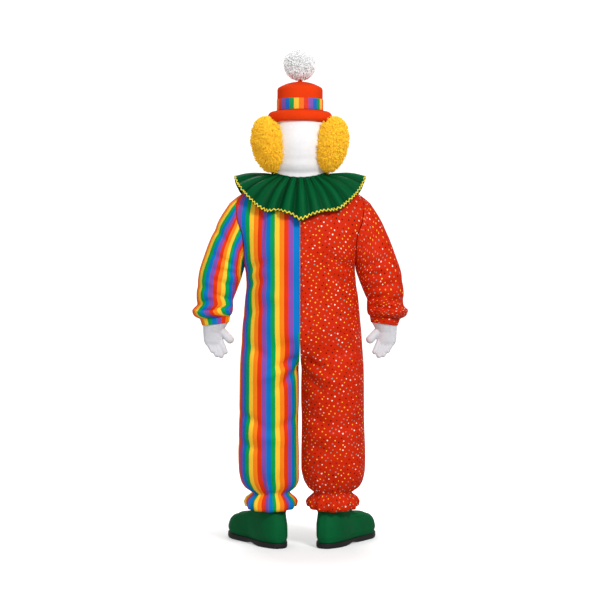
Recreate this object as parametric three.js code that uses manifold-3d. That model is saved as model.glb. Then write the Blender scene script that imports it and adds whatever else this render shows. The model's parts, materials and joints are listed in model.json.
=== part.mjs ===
// A two-colour clown mascot costume as it hangs on its wearer: a one-piece suit with a ruffled collar,
// a plush head with fur puffs and a small hat, gloves and big soft shoes.
//
// Millimetres. +X is the wearer's left, -Y the front and +Z up. Heights are measured from the floor, and the
// whole group is lowered at the end so that its origin is where the wearer's neck holds the costume.
// Cloth is a thin wall: each piece is a grid of outer points and the same points moved inward.
import * as THREE from 'three';
import { mergeVertices } from 'three/addons/utils/BufferGeometryUtils.js';
import Module from 'manifold-3d';

const wasm = await Module();
wasm.setup();

const NECK_HEIGHT = 1416;
const LEFT = 1;
const RIGHT = -1;
const BACK = 1;
const FRONT = -1;

const SEAM = 0.15; // half of the gap that two sewn pieces keep
const GAP = 0.3; // between pieces that lie against each other
const FIT = 0.4; // the same where a faceted piece goes round another
const CLOTH = 2; // thickness of suit cloth and collar
const SWAY = 7; // how far the figure stands over to its right

const { clamp, lerp, smoothstep } = THREE.MathUtils;

// ---------------------------------------------------------------- materials

function finish(color, roughness) {
  return new THREE.MeshStandardMaterial({ color, roughness, metalness: 0 });
}

const STRIPED = finish(0x5f7fb0, 0.6);
const DOTTED = finish(0xd7300e, 0.6);
const SATIN = finish(0x00703a, 0.4);
const BRAID = finish(0xf2cf2a, 0.7);
const PLUSH = finish(0xf4f2f2, 0.95);
const FUR = finish(0xfabe28, 0.95);
const FELT = finish(0xe8400c, 0.9);
const RIBBON = finish(0x2f8ac0, 0.5);
const YARN = finish(0xffffff, 0.95);
const JERSEY = finish(0xf0f0f2, 0.9);
const SUEDE = finish(0x00592d, 0.85);
const RUBBER = finish(0x161616, 0.7);
const BLACK_FELT = finish(0x18181a, 0.8);
const RED_FOAM = finish(0xd81e12, 0.6);

// ---------------------------------------------------------------- tables and curves

// Smooth value of one column of a table at a place along its key column, with no overshoot between rows.
function along(table, key, column, place) {
  const rows = table[0][key] < table.at(-1)[key] ? table : [...table].reverse();
  const last = rows.length - 1;
  const x = clamp(place, rows[0][key], rows[last][key]);
  let k = 0;
  while (k < last - 1 && x > rows[k + 1][key]) k += 1;
  const slope = (i) => (rows[i + 1][column] - rows[i][column]) / (rows[i + 1][key] - rows[i][key]);
  const tangent = (i) => {
    if (i === 0) return slope(0);
    if (i === last) return slope(last - 1);
    const before = slope(i - 1);
    const after = slope(i);
    return before * after <= 0 ? 0 : (2 * before * after) / (before + after);
  };
  const width = rows[k + 1][key] - rows[k][key];
  const t = (x - rows[k][key]) / width;
  const t2 = t * t;
  const t3 = t2 * t;
  return (2 * t3 - 3 * t2 + 1) * rows[k][column] + (t3 - 2 * t2 + t) * width * tangent(k)
    + (3 * t2 - 2 * t3) * rows[k + 1][column] + (t3 - t2) * width * tangent(k + 1);
}

// A power that keeps the sign, for rounded squares.
function rounded(value, power) {
  return Math.sign(value) * Math.abs(value) ** power;
}

// ---------------------------------------------------------------- closed walls

// Unit normals of a grid of points, by the differences between neighbours.
function gridNormals(grid, wrap) {
  const rows = grid.length;
  const columns = grid[0].length;
  return grid.map((row, j) => row.map((_, i) => {
    const left = wrap ? (i + columns - 1) % columns : Math.max(i - 1, 0);
    const right = wrap ? (i + 1) % columns : Math.min(i + 1, columns - 1);
    const across = row[right].clone().sub(row[left]);
    const down = grid[Math.min(j + 1, rows - 1)][i].clone().sub(grid[Math.max(j - 1, 0)][i]);
    return across.cross(down).normalize();
  }));
}

// One closed body between an outer and an inner grid. A wrapped grid is a tube; any other has side edges.
function wallGeometry(outer, inner, wrap) {
  const rows = outer.length;
  const columns = outer[0].length;
  const positions = [...outer.flat(), ...inner.flat()].flatMap((p) => [p.x, p.y, p.z]);
  const shift = rows * columns;
  const at = (j, i) => j * columns + (i % columns);
  const index = [];
  const quad = (a, b, c, d) => index.push(a, b, c, a, c, d);
  const spans = wrap ? columns : columns - 1;
  for (let j = 0; j < rows - 1; j += 1) {
    for (let i = 0; i < spans; i += 1) {
      quad(at(j, i), at(j, i + 1), at(j + 1, i + 1), at(j + 1, i));
      quad(shift + at(j, i), shift + at(j + 1, i), shift + at(j + 1, i + 1), shift + at(j, i + 1));
    }
  }
  for (let i = 0; i < spans; i += 1) {
    quad(at(0, i), shift + at(0, i), shift + at(0, i + 1), at(0, i + 1));
    quad(at(rows - 1, i), at(rows - 1, i + 1), shift + at(rows - 1, i + 1), shift + at(rows - 1, i));
  }
  if (!wrap) {
    for (let j = 0; j < rows - 1; j += 1) {
      const end = columns - 1;
      quad(at(j, 0), at(j + 1, 0), shift + at(j + 1, 0), shift + at(j, 0));
      quad(at(j, end), shift + at(j, end), shift + at(j + 1, end), at(j + 1, end));
    }
  }
  return facingOut(indexed(positions, index));
}

function indexed(positions, index) {
  const geometry = new THREE.BufferGeometry();
  geometry.setAttribute('position', new THREE.Float32BufferAttribute(positions, 3));
  geometry.setIndex(index);
  return geometry;
}

function volumeOf(geometry) {
  const { position } = geometry.attributes;
  const index = geometry.index.array;
  const corners = [new THREE.Vector3(), new THREE.Vector3(), new THREE.Vector3()];
  let volume = 0;
  for (let t = 0; t < index.length; t += 3) {
    corners.forEach((corner, k) => corner.fromBufferAttribute(position, index[t + k]));
    volume += corners[0].dot(corners[1].clone().cross(corners[2])) / 6;
  }
  return volume;
}

function facingOut(geometry) {
  if (volumeOf(geometry) < 0) {
    const index = Array.from(geometry.index.array);
    for (let t = 0; t < index.length; t += 3) [index[t], index[t + 1]] = [index[t + 1], index[t]];
    geometry.setIndex(index);
  }
  geometry.computeVertexNormals();
  return geometry;
}

// Inner grid of a wall: the outer points moved against the normals, which face away from the middle.
function movedIn(outer, wrap, thickness, keep = (p) => p) {
  const middle = new THREE.Vector3();
  outer.flat().forEach((p) => middle.add(p));
  middle.divideScalar(outer.length * outer[0].length);
  const normals = gridNormals(outer, wrap);
  let facing = 0;
  outer.forEach((row, j) => row.forEach((p, i) => {
    facing += normals[j][i].dot(p.clone().sub(middle));
  }));
  const step = -Math.sign(facing);
  return outer.map((row, j) => row.map((p, i) => {
    const depth = typeof thickness === 'function' ? thickness(j, i) : thickness;
    return keep(p.clone().addScaledVector(normals[j][i], step * depth), j, i);
  }));
}

function gridOf(rowValues, columns, point) {
  return rowValues.map((row, j) => Array.from({ length: columns }, (_, i) => point(row, i, j)));
}

// A closed tube of rings; each ring is {out, inn, depth}: the points at its outer and inner side and its half
// depth, and the first column is at the outer side.
function ringPoint(ring, turn, grow = 0) {
  const middle = ring.out.clone().add(ring.inn).multiplyScalar(0.5);
  const reach = ring.out.clone().sub(middle);
  const size = reach.length();
  return middle
    .addScaledVector(reach, (Math.cos(turn) * (size + grow)) / size)
    .add(new THREE.Vector3(0, Math.sin(turn) * (ring.depth + grow), 0));
}

// ---------------------------------------------------------------- joining and cutting

function toManifold(geometry) {
  const bare = geometry.clone();
  bare.deleteAttribute('normal');
  bare.deleteAttribute('uv');
  const merged = mergeVertices(bare, 1e-4);
  return new wasm.Manifold(new wasm.Mesh({
    numProp: 3,
    vertProperties: new Float32Array(merged.attributes.position.array),
    triVerts: new Uint32Array(merged.index.array),
  }));
}

function fromManifold(solid) {
  const mesh = solid.getMesh();
  const positions = [];
  for (let v = 0; v < mesh.vertProperties.length; v += mesh.numProp) {
    positions.push(...mesh.vertProperties.slice(v, v + 3));
  }
  return facingOut(indexed(positions, Array.from(mesh.triVerts)));
}

// A closed solid of rings, with a flat or pointed lid at each end.
function loftSolid(rings) {
  const columns = rings[0].length;
  const positions = rings.flat().flatMap((p) => [p.x, p.y, p.z]);
  const index = [];
  for (let j = 0; j < rings.length - 1; j += 1) {
    for (let i = 0; i < columns; i += 1) {
      const next = (i + 1) % columns;
      const a = j * columns + i;
      const b = j * columns + next;
      index.push(a, b, b + columns, a, b + columns, a + columns);
    }
  }
  [0, rings.length - 1].forEach((end) => {
    const centre = new THREE.Vector3();
    rings[end].forEach((p) => centre.add(p));
    centre.divideScalar(columns);
    const apex = positions.length / 3;
    positions.push(centre.x, centre.y, centre.z);
    for (let i = 0; i < columns; i += 1) {
      const a = end * columns + i;
      const b = end * columns + ((i + 1) % columns);
      index.push(...(end === 0 ? [apex, b, a] : [apex, a, b]));
    }
  });
  return facingOut(indexed(positions, index));
}

// ---------------------------------------------------------------- the suit's panels

const NECK = { halfWidth: 108, halfDepth: 98, back: NECK_HEIGHT, side: 1440, front: 1408 };
const SHOULDER = new THREE.Vector3(237, 0, 1360);
const UNDERARM_HEIGHT = 1085;
const SEAT_HEIGHT = 840;
const CROTCH_HEIGHT = 698;
const THIGH_HEIGHT = 610;
const ARMHOLE = { halfDepth: 74, top: SHOULDER.z, bottom: UNDERARM_HEIGHT };

// Sideways place of the armhole seam by height.
const ARMHOLE_LINE = [
  { z: 1360, x: 237 }, { z: 1322, x: 247 }, { z: 1266, x: 242 }, { z: 1235, x: 232 },
  { z: 1201, x: 221 }, { z: 1151, x: 216 }, { z: 1085, x: 214 },
];
// Half width and half depths of the body.
const BODY = [
  { z: 1085, width: 214, back: 150, front: 150 },
  { z: 1040, width: 213, back: 148, front: 156 },
  { z: 960, width: 220, back: 144, front: 164 },
  { z: 840, width: 231, back: 150, front: 160 },
  { z: 698, width: 238, back: 150, front: 140 },
];
// Inner and outer edge of a leg, its half depths, and the height of its gathered folds.
const LEG = [
  { z: 840, inner: 6, outer: 231, back: 150, front: 150, fold: 0 },
  { z: 698, inner: 5, outer: 241, back: 142, front: 132, fold: 0 },
  { z: 590, inner: 3.5, outer: 242, back: 128, front: 126, fold: 0 },
  { z: 470, inner: 6, outer: 244, back: 119, front: 124, fold: 0 },
  { z: 355, inner: 4, outer: 248, back: 118, front: 121, fold: 0 },
  { z: 300, inner: 4.5, outer: 246, back: 115, front: 119, fold: 0.5 },
  { z: 255, inner: 10, outer: 237, back: 105, front: 109, fold: 1.5 },
  { z: 228, inner: 24, outer: 219, back: 90, front: 92, fold: 3 },
  { z: 207, inner: 45, outer: 195, back: 75, front: 75, fold: 2.5 },
  { z: 190, inner: 30, outer: 212, back: 88, front: 88, fold: 4.5 },
  { z: 170, inner: 20, outer: 221, back: 97, front: 97, fold: 6 },
  { z: 149, inner: 26, outer: 215, back: 93, front: 93, fold: 7 },
];
const ANKLE_HEIGHT = 207;
const HEM_HEIGHT = 149;

const PANEL_COLUMNS = 12;
const YOKE_ROWS = 7;
const LOWER_ROWS = [985, 840, 780, 728, 698, 640, 540, 430, 320, 262, 229, 207, 190, 170, 149];

// Height of the neckline, by the turn from the centre back.
function neckHeight(turn) {
  const end = Math.cos(turn) > 0 ? NECK.back : NECK.front;
  return lerp(end, NECK.side, Math.sin(turn) ** 2);
}

function neckPoint(turn, grow = 0, rise = 0) {
  return new THREE.Vector3(
    (NECK.halfWidth + grow) * Math.sin(turn),
    (NECK.halfDepth + grow) * Math.cos(turn),
    neckHeight(turn) + rise,
  );
}

// Quarter section of the body: u runs from the centre seam to the side seam.
function bodyPoint(face, u, z) {
  const turn = (u * Math.PI) / 2;
  const depth = along(BODY, 'z', face === BACK ? 'back' : 'front', z);
  return new THREE.Vector3(
    along(BODY, 'z', 'width', z) * rounded(Math.sin(turn), 0.84),
    face * depth * rounded(Math.cos(turn), 0.84),
    z,
  );
}

// Half section of a leg: u runs from the inseam round the back or front to the side seam.
function legPoint(face, u, z) {
  const inner = along(LEG, 'z', 'inner', z);
  const outer = along(LEG, 'z', 'outer', z);
  const depth = along(LEG, 'z', face === BACK ? 'back' : 'front', z);
  const turn = u * Math.PI;
  return new THREE.Vector3(
    (inner + outer) / 2 - ((outer - inner) / 2) * rounded(Math.cos(turn), 0.88),
    face * depth * rounded(Math.sin(turn), 0.88),
    z,
  );
}

// Between seat and crotch the centre seam curves under the body in a quarter circle, and further out the
// section turns more slowly into a leg's.
function lowerPoint(face, u, z) {
  const fall = clamp((SEAT_HEIGHT - z) / (SEAT_HEIGHT - CROTCH_HEIGHT), 0, 1);
  const underBody = 1 - Math.sqrt(1 - fall * fall);
  const downThigh = smoothstep(SEAT_HEIGHT + 30 - z, 0, SEAT_HEIGHT + 30 - THIGH_HEIGHT);
  return bodyPoint(face, u, z).lerp(legPoint(face, u, z), lerp(underBody, downThigh, Math.min(3 * u, 1)));
}

// The armhole seam: turn 0 is the shoulder point and turn PI the underarm.
function armholePoint(face, turn) {
  const middle = (ARMHOLE.top + ARMHOLE.bottom) / 2;
  const z = middle + ((ARMHOLE.top - ARMHOLE.bottom) / 2) * Math.cos(turn);
  return new THREE.Vector3(
    along(ARMHOLE_LINE, 'z', 'x', z),
    face * ARMHOLE.halfDepth * Math.sin(turn),
    z,
  );
}

function armholeOutward(face, turn) {
  return new THREE.Vector3(0, face * Math.sin(turn), Math.cos(turn));
}

// Neckline and then shoulder seam, from the centre to the shoulder point.
function topEdge(face, u) {
  const turn = clamp(u * 2, 0, 1) * (Math.PI / 2);
  const neck = neckPoint(face === BACK ? turn : Math.PI - turn);
  return u <= 0.5 ? neck : neck.lerp(SHOULDER, u * 2 - 1);
}

function centreEdge(face, v) {
  const top = topEdge(face, 0);
  const bottom = bodyPoint(face, 0, UNDERARM_HEIGHT);
  return new THREE.Vector3(0, lerp(top.y, bottom.y, yokeSwell(v)), lerp(top.z, bottom.z, v));
}

// The chest's depth is reached sooner than its height, so that the shoulders are round.
function yokeSwell(v) {
  return Math.sin((v * Math.PI) / 2);
}

// The part above the underarm fills the shape between neckline, centre seam, armhole and chest section.
function yokePoint(face, u, v) {
  const top = topEdge(face, u);
  const bottom = bodyPoint(face, u, UNDERARM_HEIGHT);
  const centre = centreEdge(face, v);
  const side = armholePoint(face, v * Math.PI);
  const corners = topEdge(face, 0).lerp(topEdge(face, 1), u)
    .lerp(bodyPoint(face, 0, UNDERARM_HEIGHT).lerp(bodyPoint(face, 1, UNDERARM_HEIGHT), u), v);
  const depth = lerp(top.y, bottom.y, yokeSwell(v)) + u * side.y;
  const point = top.lerp(bottom, v).add(centre.lerp(side, u)).sub(corners);
  point.y = depth;
  return point;
}

// The figure's weight is over its right leg, so that side stands further out.
function sway(point, side, u) {
  const below = clamp((UNDERARM_HEIGHT - point.z) / 100, 0, 1);
  const ankle = clamp((300 - point.z) / 60, 0, 1);
  point.x -= side * SWAY * below * Math.max(u, ankle);
  return point;
}

function panel(side, face) {
  const rows = [
    ...Array.from({ length: YOKE_ROWS + 1 }, (_, j) => ({ v: j / YOKE_ROWS })),
    ...LOWER_ROWS.map((z) => ({ z })),
  ];
  const keep = (p) => {
    p.x = side * Math.max(side * p.x, SEAM);
    p.y = face * Math.max(face * p.y, SEAM);
    return p;
  };
  const outer = gridOf(rows, PANEL_COLUMNS + 1, (row, i) => {
    const u = i / PANEL_COLUMNS;
    const point = row.z === undefined ? yokePoint(face, u, row.v) : lowerPoint(face, u, row.z);
    sway(point, side, u);
    if (row.z !== undefined) gatherAtAnkle(point, side, i, row.z);
    point.x *= side;
    return keep(point);
  });
  const inner = movedIn(outer, false, CLOTH, (p, j, i) => {
    if (i === PANEL_COLUMNS && j <= YOKE_ROWS) {
      const turn = (j / YOKE_ROWS) * Math.PI;
      p.copy(outer[j][i]).addScaledVector(armholeOutward(face, turn), -CLOTH);
    }
    return keep(p);
  });
  return wallGeometry(outer, inner, false);
}

// Every second column stands out as a fold, and the hem hangs lower at the back and front than at the sides.
function gatherAtAnkle(point, side, column, z) {
  const middle = 120 - side * SWAY;
  const radial = new THREE.Vector3(point.x - middle, point.y, 0).normalize();
  const fold = along(LEG, 'z', 'fold', z);
  point.addScaledVector(radial, column % 2 === 0 ? fold : -fold);
  const drop = clamp((ANKLE_HEIGHT - z) / (ANKLE_HEIGHT - HEM_HEIGHT), 0, 1);
  point.z += drop * (6 - 12 * Math.abs(radial.y));
}

// ---------------------------------------------------------------- sleeves and cuffs

// Rings of a sleeve below the armhole: the outer and inner edge, the half depth and the height of its folds.
const SLEEVE = [
  { outX: 272, outZ: 1331, inX: 216, inZ: 1074, depth: 75, fold: 0 },
  { outX: 312, outZ: 1270, inX: 221, inZ: 1056, depth: 78, fold: 0 },
  { outX: 346, outZ: 1195, inX: 228, inZ: 1037, depth: 79, fold: 0 },
  { outX: 370, outZ: 1130, inX: 234, inZ: 1021, depth: 79, fold: 0 },
  { outX: 393, outZ: 1055, inX: 243, inZ: 998, depth: 78, fold: 0 },
  { outX: 401, outZ: 980, inX: 256, inZ: 962, depth: 75, fold: 1 },
  { outX: 399, outZ: 942, inX: 259, inZ: 940, depth: 71, fold: 2 },
  { outX: 418, outZ: 917, inX: 259, inZ: 923, depth: 76, fold: 2 },
  { outX: 409, outZ: 895, inX: 263, inZ: 905, depth: 70, fold: 3 },
  { outX: 389, outZ: 883, inX: 270, inZ: 895, depth: 49, fold: 1 },
];
const CUFF = {
  top: { outX: 388.8, outZ: 882.5, inX: 270.2, inZ: 894.5, depth: 48.5 },
  bottom: { outX: 380, outZ: 857, inX: 275, inZ: 870, depth: 45 },
};
const ARM_COLUMNS = 2 * YOKE_ROWS;

function ringOf(side, row) {
  return {
    out: new THREE.Vector3(side * row.outX, 0, row.outZ),
    inn: new THREE.Vector3(side * row.inX, 0, row.inZ),
    depth: row.depth,
  };
}

function sleeve(side) {
  const turnOf = (i) => (2 * Math.PI * i) / ARM_COLUMNS;
  const first = Array.from({ length: ARM_COLUMNS }, (_, i) => {
    const turn = turnOf(i);
    const face = turn <= Math.PI ? BACK : FRONT;
    const point = armholePoint(face, turn <= Math.PI ? turn : 2 * Math.PI - turn);
    point.x = side * (point.x + FIT);
    return point;
  });
  const rest = SLEEVE.map((row) => Array.from({ length: ARM_COLUMNS }, (_, i) => (
    ringPoint(ringOf(side, row), turnOf(i), i % 2 === 0 ? row.fold : -row.fold)
  )));
  const outer = [first, ...rest];
  const inner = movedIn(outer, true, CLOTH, (p, j, i) => {
    if (j > 0) return p;
    return outer[0][i].clone()
      .addScaledVector(new THREE.Vector3(0, Math.sin(turnOf(i)), Math.cos(turnOf(i))), -CLOTH);
  });
  return wallGeometry(outer, inner, true);
}

// A ring of an arm in its own columns, grown outward or shrunk.
function armRing(side, row, grow = 0) {
  return Array.from({ length: ARM_COLUMNS }, (_, i) => (
    ringPoint(ringOf(side, row), (2 * Math.PI * i) / ARM_COLUMNS, grow)
  ));
}

function cuff(side) {
  const rings = (grow) => [armRing(side, CUFF.top, grow), armRing(side, CUFF.bottom, grow)];
  return wallGeometry(rings(0), rings(-CLOTH), true);
}

// ---------------------------------------------------------------- neckband, collar and braid

const NECKBAND = { thickness: 3, height: 12, columns: 24 };
const COLLAR = {
  halfWidth: 255, backDepth: 168, frontDepth: 172, sideHeight: 1437, drop: 163,
  swellOut: 8, swellUp: 10, flutes: 26, columns: 104, wave: 9, droop: 3, rise: 4,
};
// How far down the collar each row lies: below 0 is the small heading above the seam.
const COLLAR_ROWS = [-1, 0, 0.32, 0.62, 0.92, 1];
const HEADING = { height: 8, flare: 2.2 };
const RICKRACK = { lift: 0.5, thickness: 1.6, inner: 0.935, outer: 0.985, halfWidth: 0.012 };

function neckband() {
  const rows = [GAP, NECKBAND.height];
  const ring = (grow) => (rise, i) => neckPoint((2 * Math.PI * i) / NECKBAND.columns, grow, rise);
  const outer = gridOf(rows, NECKBAND.columns, ring(0));
  const inner = gridOf(rows, NECKBAND.columns, ring(-NECKBAND.thickness));
  return wallGeometry(outer, inner, true);
}

// The collar without its waves: a ring from the neck seam out over the shoulders.
function collarBase(turn, share) {
  const seam = neckPoint(turn, FIT + CLOTH, COLLAR.rise);
  if (share < 0) return neckPoint(turn, FIT + CLOTH + HEADING.flare, COLLAR.rise + HEADING.height);
  const depth = Math.cos(turn) > 0 ? COLLAR.backDepth : COLLAR.frontDepth;
  const edge = new THREE.Vector3(
    COLLAR.halfWidth * Math.sin(turn),
    depth * Math.cos(turn),
    COLLAR.sideHeight - COLLAR.drop * Math.abs(Math.cos(turn)) ** 1.1,
  );
  const swell = Math.sin(Math.PI * share);
  const point = seam.lerp(edge, share);
  point.x += COLLAR.swellOut * swell * Math.sin(turn);
  point.y += COLLAR.swellOut * swell * Math.cos(turn);
  point.z += COLLAR.swellUp * swell + edgeLift(turn) * share ** 3;
  return point;
}

// How far the collar's edge hangs above or below its even line, by the turn from the centre back.
const EDGE_LIFT = [
  { turn: -3.15, lift: 0 }, { turn: -2.7, lift: 6 }, { turn: -2.2, lift: -4 }, { turn: -1.7, lift: 3 },
  { turn: -1.2, lift: 6 }, { turn: -0.9, lift: 3 }, { turn: -0.62, lift: -5 }, { turn: -0.33, lift: 9 },
  { turn: -0.2, lift: 4 }, { turn: 0, lift: -13 }, { turn: 0.15, lift: 8 }, { turn: 0.33, lift: 14 },
  { turn: 0.54, lift: -6 }, { turn: 0.72, lift: 0 }, { turn: 1.05, lift: 12 }, { turn: 1.45, lift: 4 },
  { turn: 1.9, lift: -4 }, { turn: 2.4, lift: 5 }, { turn: 2.8, lift: -5 }, { turn: 3.15, lift: 0 },
];

function edgeLift(turn) {
  return along(EDGE_LIFT, 'turn', 'lift', turn > Math.PI ? turn - 2 * Math.PI : turn);
}

function fluteWave(turn) {
  const drift = 0.9 * Math.sin(2 * turn + 0.6) + 0.5 * Math.sin(5 * turn + 2);
  const size = 0.85 + 0.2 * Math.sin(3 * turn + 1) + 0.12 * Math.sin(7 * turn);
  return size * Math.cos(COLLAR.flutes * turn + drift);
}

function collarGrid() {
  const turnOf = (i) => (2 * Math.PI * i) / COLLAR.columns;
  const base = gridOf(COLLAR_ROWS, COLLAR.columns, (share, i) => collarBase(turnOf(i), share));
  const normals = gridNormals(base, true);
  const facing = Math.sign(normals[3][0].z);
  return base.map((row, j) => row.map((point, i) => {
    const share = COLLAR_ROWS[j];
    const wave = fluteWave(turnOf(i));
    const size = share < 0 ? 1 : COLLAR.wave * share * (1.6 - 0.8 * share);
    point.addScaledVector(normals[j][i], facing * size * wave);
    point.z -= COLLAR.droop * Math.max(share, 0) ** 2 * wave * Math.abs(Math.cos(turnOf(i)));
    return point;
  }));
}

// The collar's waved points are its upper face, so the cloth's thickness goes down from them.
function collarUnder(upper) {
  const normals = gridNormals(upper, true);
  const facing = Math.sign(normals[3][0].z);
  const seam = COLLAR_ROWS.indexOf(0);
  return upper.map((row, j) => row.map((point, i) => {
    if (j <= seam) {
      const turn = (2 * Math.PI * i) / COLLAR.columns;
      return point.clone().add(new THREE.Vector3(-CLOTH * Math.sin(turn), -CLOTH * Math.cos(turn), 0));
    }
    return point.clone().addScaledVector(normals[j][i], -facing * CLOTH);
  }));
}

function collar() {
  const upper = collarGrid();
  return wallGeometry(upper, collarUnder(upper), true);
}

// Zigzag braid near the collar's edge: two steps for each column of the collar, so that it lies on its faces.
function collarTrim() {
  const upper = collarGrid();
  const normals = gridNormals(upper, true);
  const facing = Math.sign(normals[3][0].z);
  const last = COLLAR_ROWS.length - 1;
  const onCollar = (k, share, lift) => {
    const i = Math.floor(k / 2) % COLLAR.columns;
    const next = (i + (k % 2)) % COLLAR.columns;
    const t = (share - COLLAR_ROWS[last - 1]) / (COLLAR_ROWS[last] - COLLAR_ROWS[last - 1]);
    const place = (column) => upper[last - 1][column].clone().lerp(upper[last][column], t);
    const normal = normals[last][i].clone().add(normals[last][next]).normalize();
    return place(i).lerp(place(next), 0.5).addScaledVector(normal, facing * lift);
  };
  const steps = 2 * COLLAR.columns;
  const edge = (offset, lift) => Array.from({ length: steps }, (_, k) => {
    const middle = k % 2 === 0 ? RICKRACK.inner : RICKRACK.outer;
    return onCollar(k, middle + offset, lift);
  });
  const over = RICKRACK.lift + RICKRACK.thickness;
  return hoop([edge(-RICKRACK.halfWidth, over), edge(RICKRACK.halfWidth, over), edge(0, RICKRACK.lift)]);
}

// A closed ring whose section has one corner on each of the given lines.
function hoop(lines) {
  const steps = lines[0].length;
  const positions = lines.flat().flatMap((p) => [p.x, p.y, p.z]);
  const index = [];
  lines.forEach((_, corner) => {
    const here = corner * steps;
    const there = ((corner + 1) % lines.length) * steps;
    for (let k = 0; k < steps; k += 1) {
      const next = (k + 1) % steps;
      index.push(here + k, there + k, there + next, here + k, there + next, here + next);
    }
  });
  return facingOut(indexed(positions, index));
}

// ---------------------------------------------------------------- the head

// Half width, half depth and wall of the plush head; the first two rows are the skirt inside the neckband.
const HEAD = [
  { z: 1402, width: 104.6, depth: 94.6, wall: 3 },
  { z: 1454, width: 104.6, depth: 94.6, wall: 3 },
  { z: 1474, width: 111.5, depth: 107.5, wall: 6 },
  { z: 1515, width: 119, depth: 124, wall: 8 },
  { z: 1560, width: 122, depth: 130, wall: 8 },
  { z: 1606, width: 116, depth: 122, wall: 8 },
  { z: 1644, width: 102, depth: 105, wall: 8 },
  { z: 1668, width: 89, depth: 89, wall: 8 },
  { z: 1700, width: 66, depth: 66, wall: 8 },
  { z: 1724, width: 40, depth: 44, wall: 8 },
  { z: 1736, width: 0, depth: 22, wall: 8 },
];
const HEAD_COLUMNS = 12; // from centre back to centre front

function headPoint(row, turn, grow = 0) {
  return new THREE.Vector3(
    (row.width + grow) * Math.sin(turn),
    (row.depth + grow) * Math.cos(turn),
    row.z + (row === HEAD.at(-1) ? grow : 0),
  );
}

function headHalf(side) {
  const keep = (p) => {
    p.x = side * Math.max(side * p.x, SEAM);
    return p;
  };
  const turnOf = (i) => (Math.PI * i) / HEAD_COLUMNS;
  const outer = gridOf(HEAD, HEAD_COLUMNS + 1, (row, i) => {
    const point = headPoint(row, turnOf(i));
    point.x *= side;
    return keep(point);
  });
  const inner = gridOf(HEAD, HEAD_COLUMNS + 1, (row, i, j) => {
    const closing = j >= HEAD.length - 3;
    const point = headPoint(row, turnOf(i), -row.wall);
    if (closing) point.z = row.z - row.wall;
    point.x *= side;
    return keep(point);
  });
  return wallGeometry(outer, inner, false);
}

// The whole head as one solid, grown outward, for fitting what is sewn on it.
function headForm(grow) {
  const ring = (row) => Array.from({ length: 2 * HEAD_COLUMNS }, (_, i) => (
    headPoint(row, (Math.PI * i) / HEAD_COLUMNS, grow)
  ));
  return toManifold(loftSolid(HEAD.map(ring)));
}

// Fur puffs: egg shapes with tufted skin that wrap round the sides of the head.
const PUFF = {
  x: 117, y: 42, z: 1558, halfWidth: 73, halfDepth: 112, halfHeight: 110,
  lean: 12, taper: 0.1, tuft: 0.025, columns: 16, rows: 8, fit: 0.7,
};

function puff(side) {
  const rings = Array.from({ length: PUFF.rows - 1 }, (_, j) => {
    const climb = (Math.PI * (j + 1)) / PUFF.rows;
    const up = -Math.cos(climb);
    const narrow = up < 0 ? 1 + PUFF.taper * up : 1;
    return Array.from({ length: PUFF.columns }, (_, i) => {
      const turn = (2 * Math.PI * i) / PUFF.columns;
      const tuft = 1 + ((i + j) % 2 === 0 ? PUFF.tuft : -PUFF.tuft);
      const round = rounded(Math.sin(climb), 0.9) * narrow * tuft;
      return new THREE.Vector3(
        side * (PUFF.x + PUFF.lean * up + PUFF.halfWidth * Math.cos(turn) * round),
        PUFF.y + PUFF.halfDepth * Math.sin(turn) * round,
        PUFF.z + PUFF.halfHeight * up,
      );
    });
  });
  const blank = toManifold(loftSolid(rings));
  return fromManifold(blank.subtract(headForm(PUFF.fit)).subtract(toManifold(brimGeometry(BRIM.clear))));
}

const FACE = { felt: 2.5, reach: 160 };
const EYE = { x: 40, z: 1600, halfWidth: 13, halfHeight: 21, sides: 12 };
const MOUTH = { z: 1516, halfWidth: 52, sag: 22, thick: 9, steps: 10 };
const NOSE = { radius: 27, z: 1562, forward: 14 };

// A flat shape raised on the front of the head: where a block from the front meets a thin shell of the head.
function onFace(outline) {
  const straight = { depth: FACE.reach, bevelEnabled: false };
  const block = new THREE.ExtrudeGeometry(new THREE.Shape(outline), straight);
  block.rotateX(Math.PI / 2);
  const shell = headForm(FIT + FACE.felt).subtract(headForm(FIT));
  return fromManifold(toManifold(block).intersect(shell));
}

function eye(side) {
  const outline = Array.from({ length: EYE.sides }, (_, i) => {
    const turn = (2 * Math.PI * i) / EYE.sides;
    const x = side * EYE.x + EYE.halfWidth * Math.cos(turn);
    return new THREE.Vector2(x, EYE.z + EYE.halfHeight * Math.sin(turn));
  });
  return onFace(outline);
}

function mouth() {
  const curve = (share, lower) => {
    const across = 2 * share - 1;
    const dip = -MOUTH.sag * (1 - across * across);
    const thick = MOUTH.thick * Math.sqrt(Math.max(1 - across ** 4, 0.04));
    return new THREE.Vector2(MOUTH.halfWidth * across, MOUTH.z + dip + (lower ? -thick : thick));
  };
  const shares = Array.from({ length: MOUTH.steps + 1 }, (_, i) => i / MOUTH.steps);
  const under = shares.map((share) => curve(share, true));
  const over = shares.map((share) => curve(share, false)).reverse();
  return onFace([...under, ...over]);
}

function nose() {
  const ball = new THREE.SphereGeometry(NOSE.radius, 12, 7);
  const front = along(HEAD, 'z', 'depth', NOSE.z);
  ball.translate(0, -front - NOSE.forward, NOSE.z);
  return fromManifold(toManifold(ball).subtract(headForm(FIT)));
}

// ---------------------------------------------------------------- the hat

const HAT = { columns: 24, crownRadius: 88, base: 1679.5, shoulder: 1768, dome: 1776, top: 1800, felt: 4 };
const DOME_STEPS = [1, 0.8, 0.55, 0.28, 0]; // shares of the crown's radius, from its edge to its middle
const BRIM = { shelf: 1679.2, clear: 0.5 };
const BRIM_SEAT = [1652, 1663, 1676]; // heights at which the brim's hole meets the head
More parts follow.
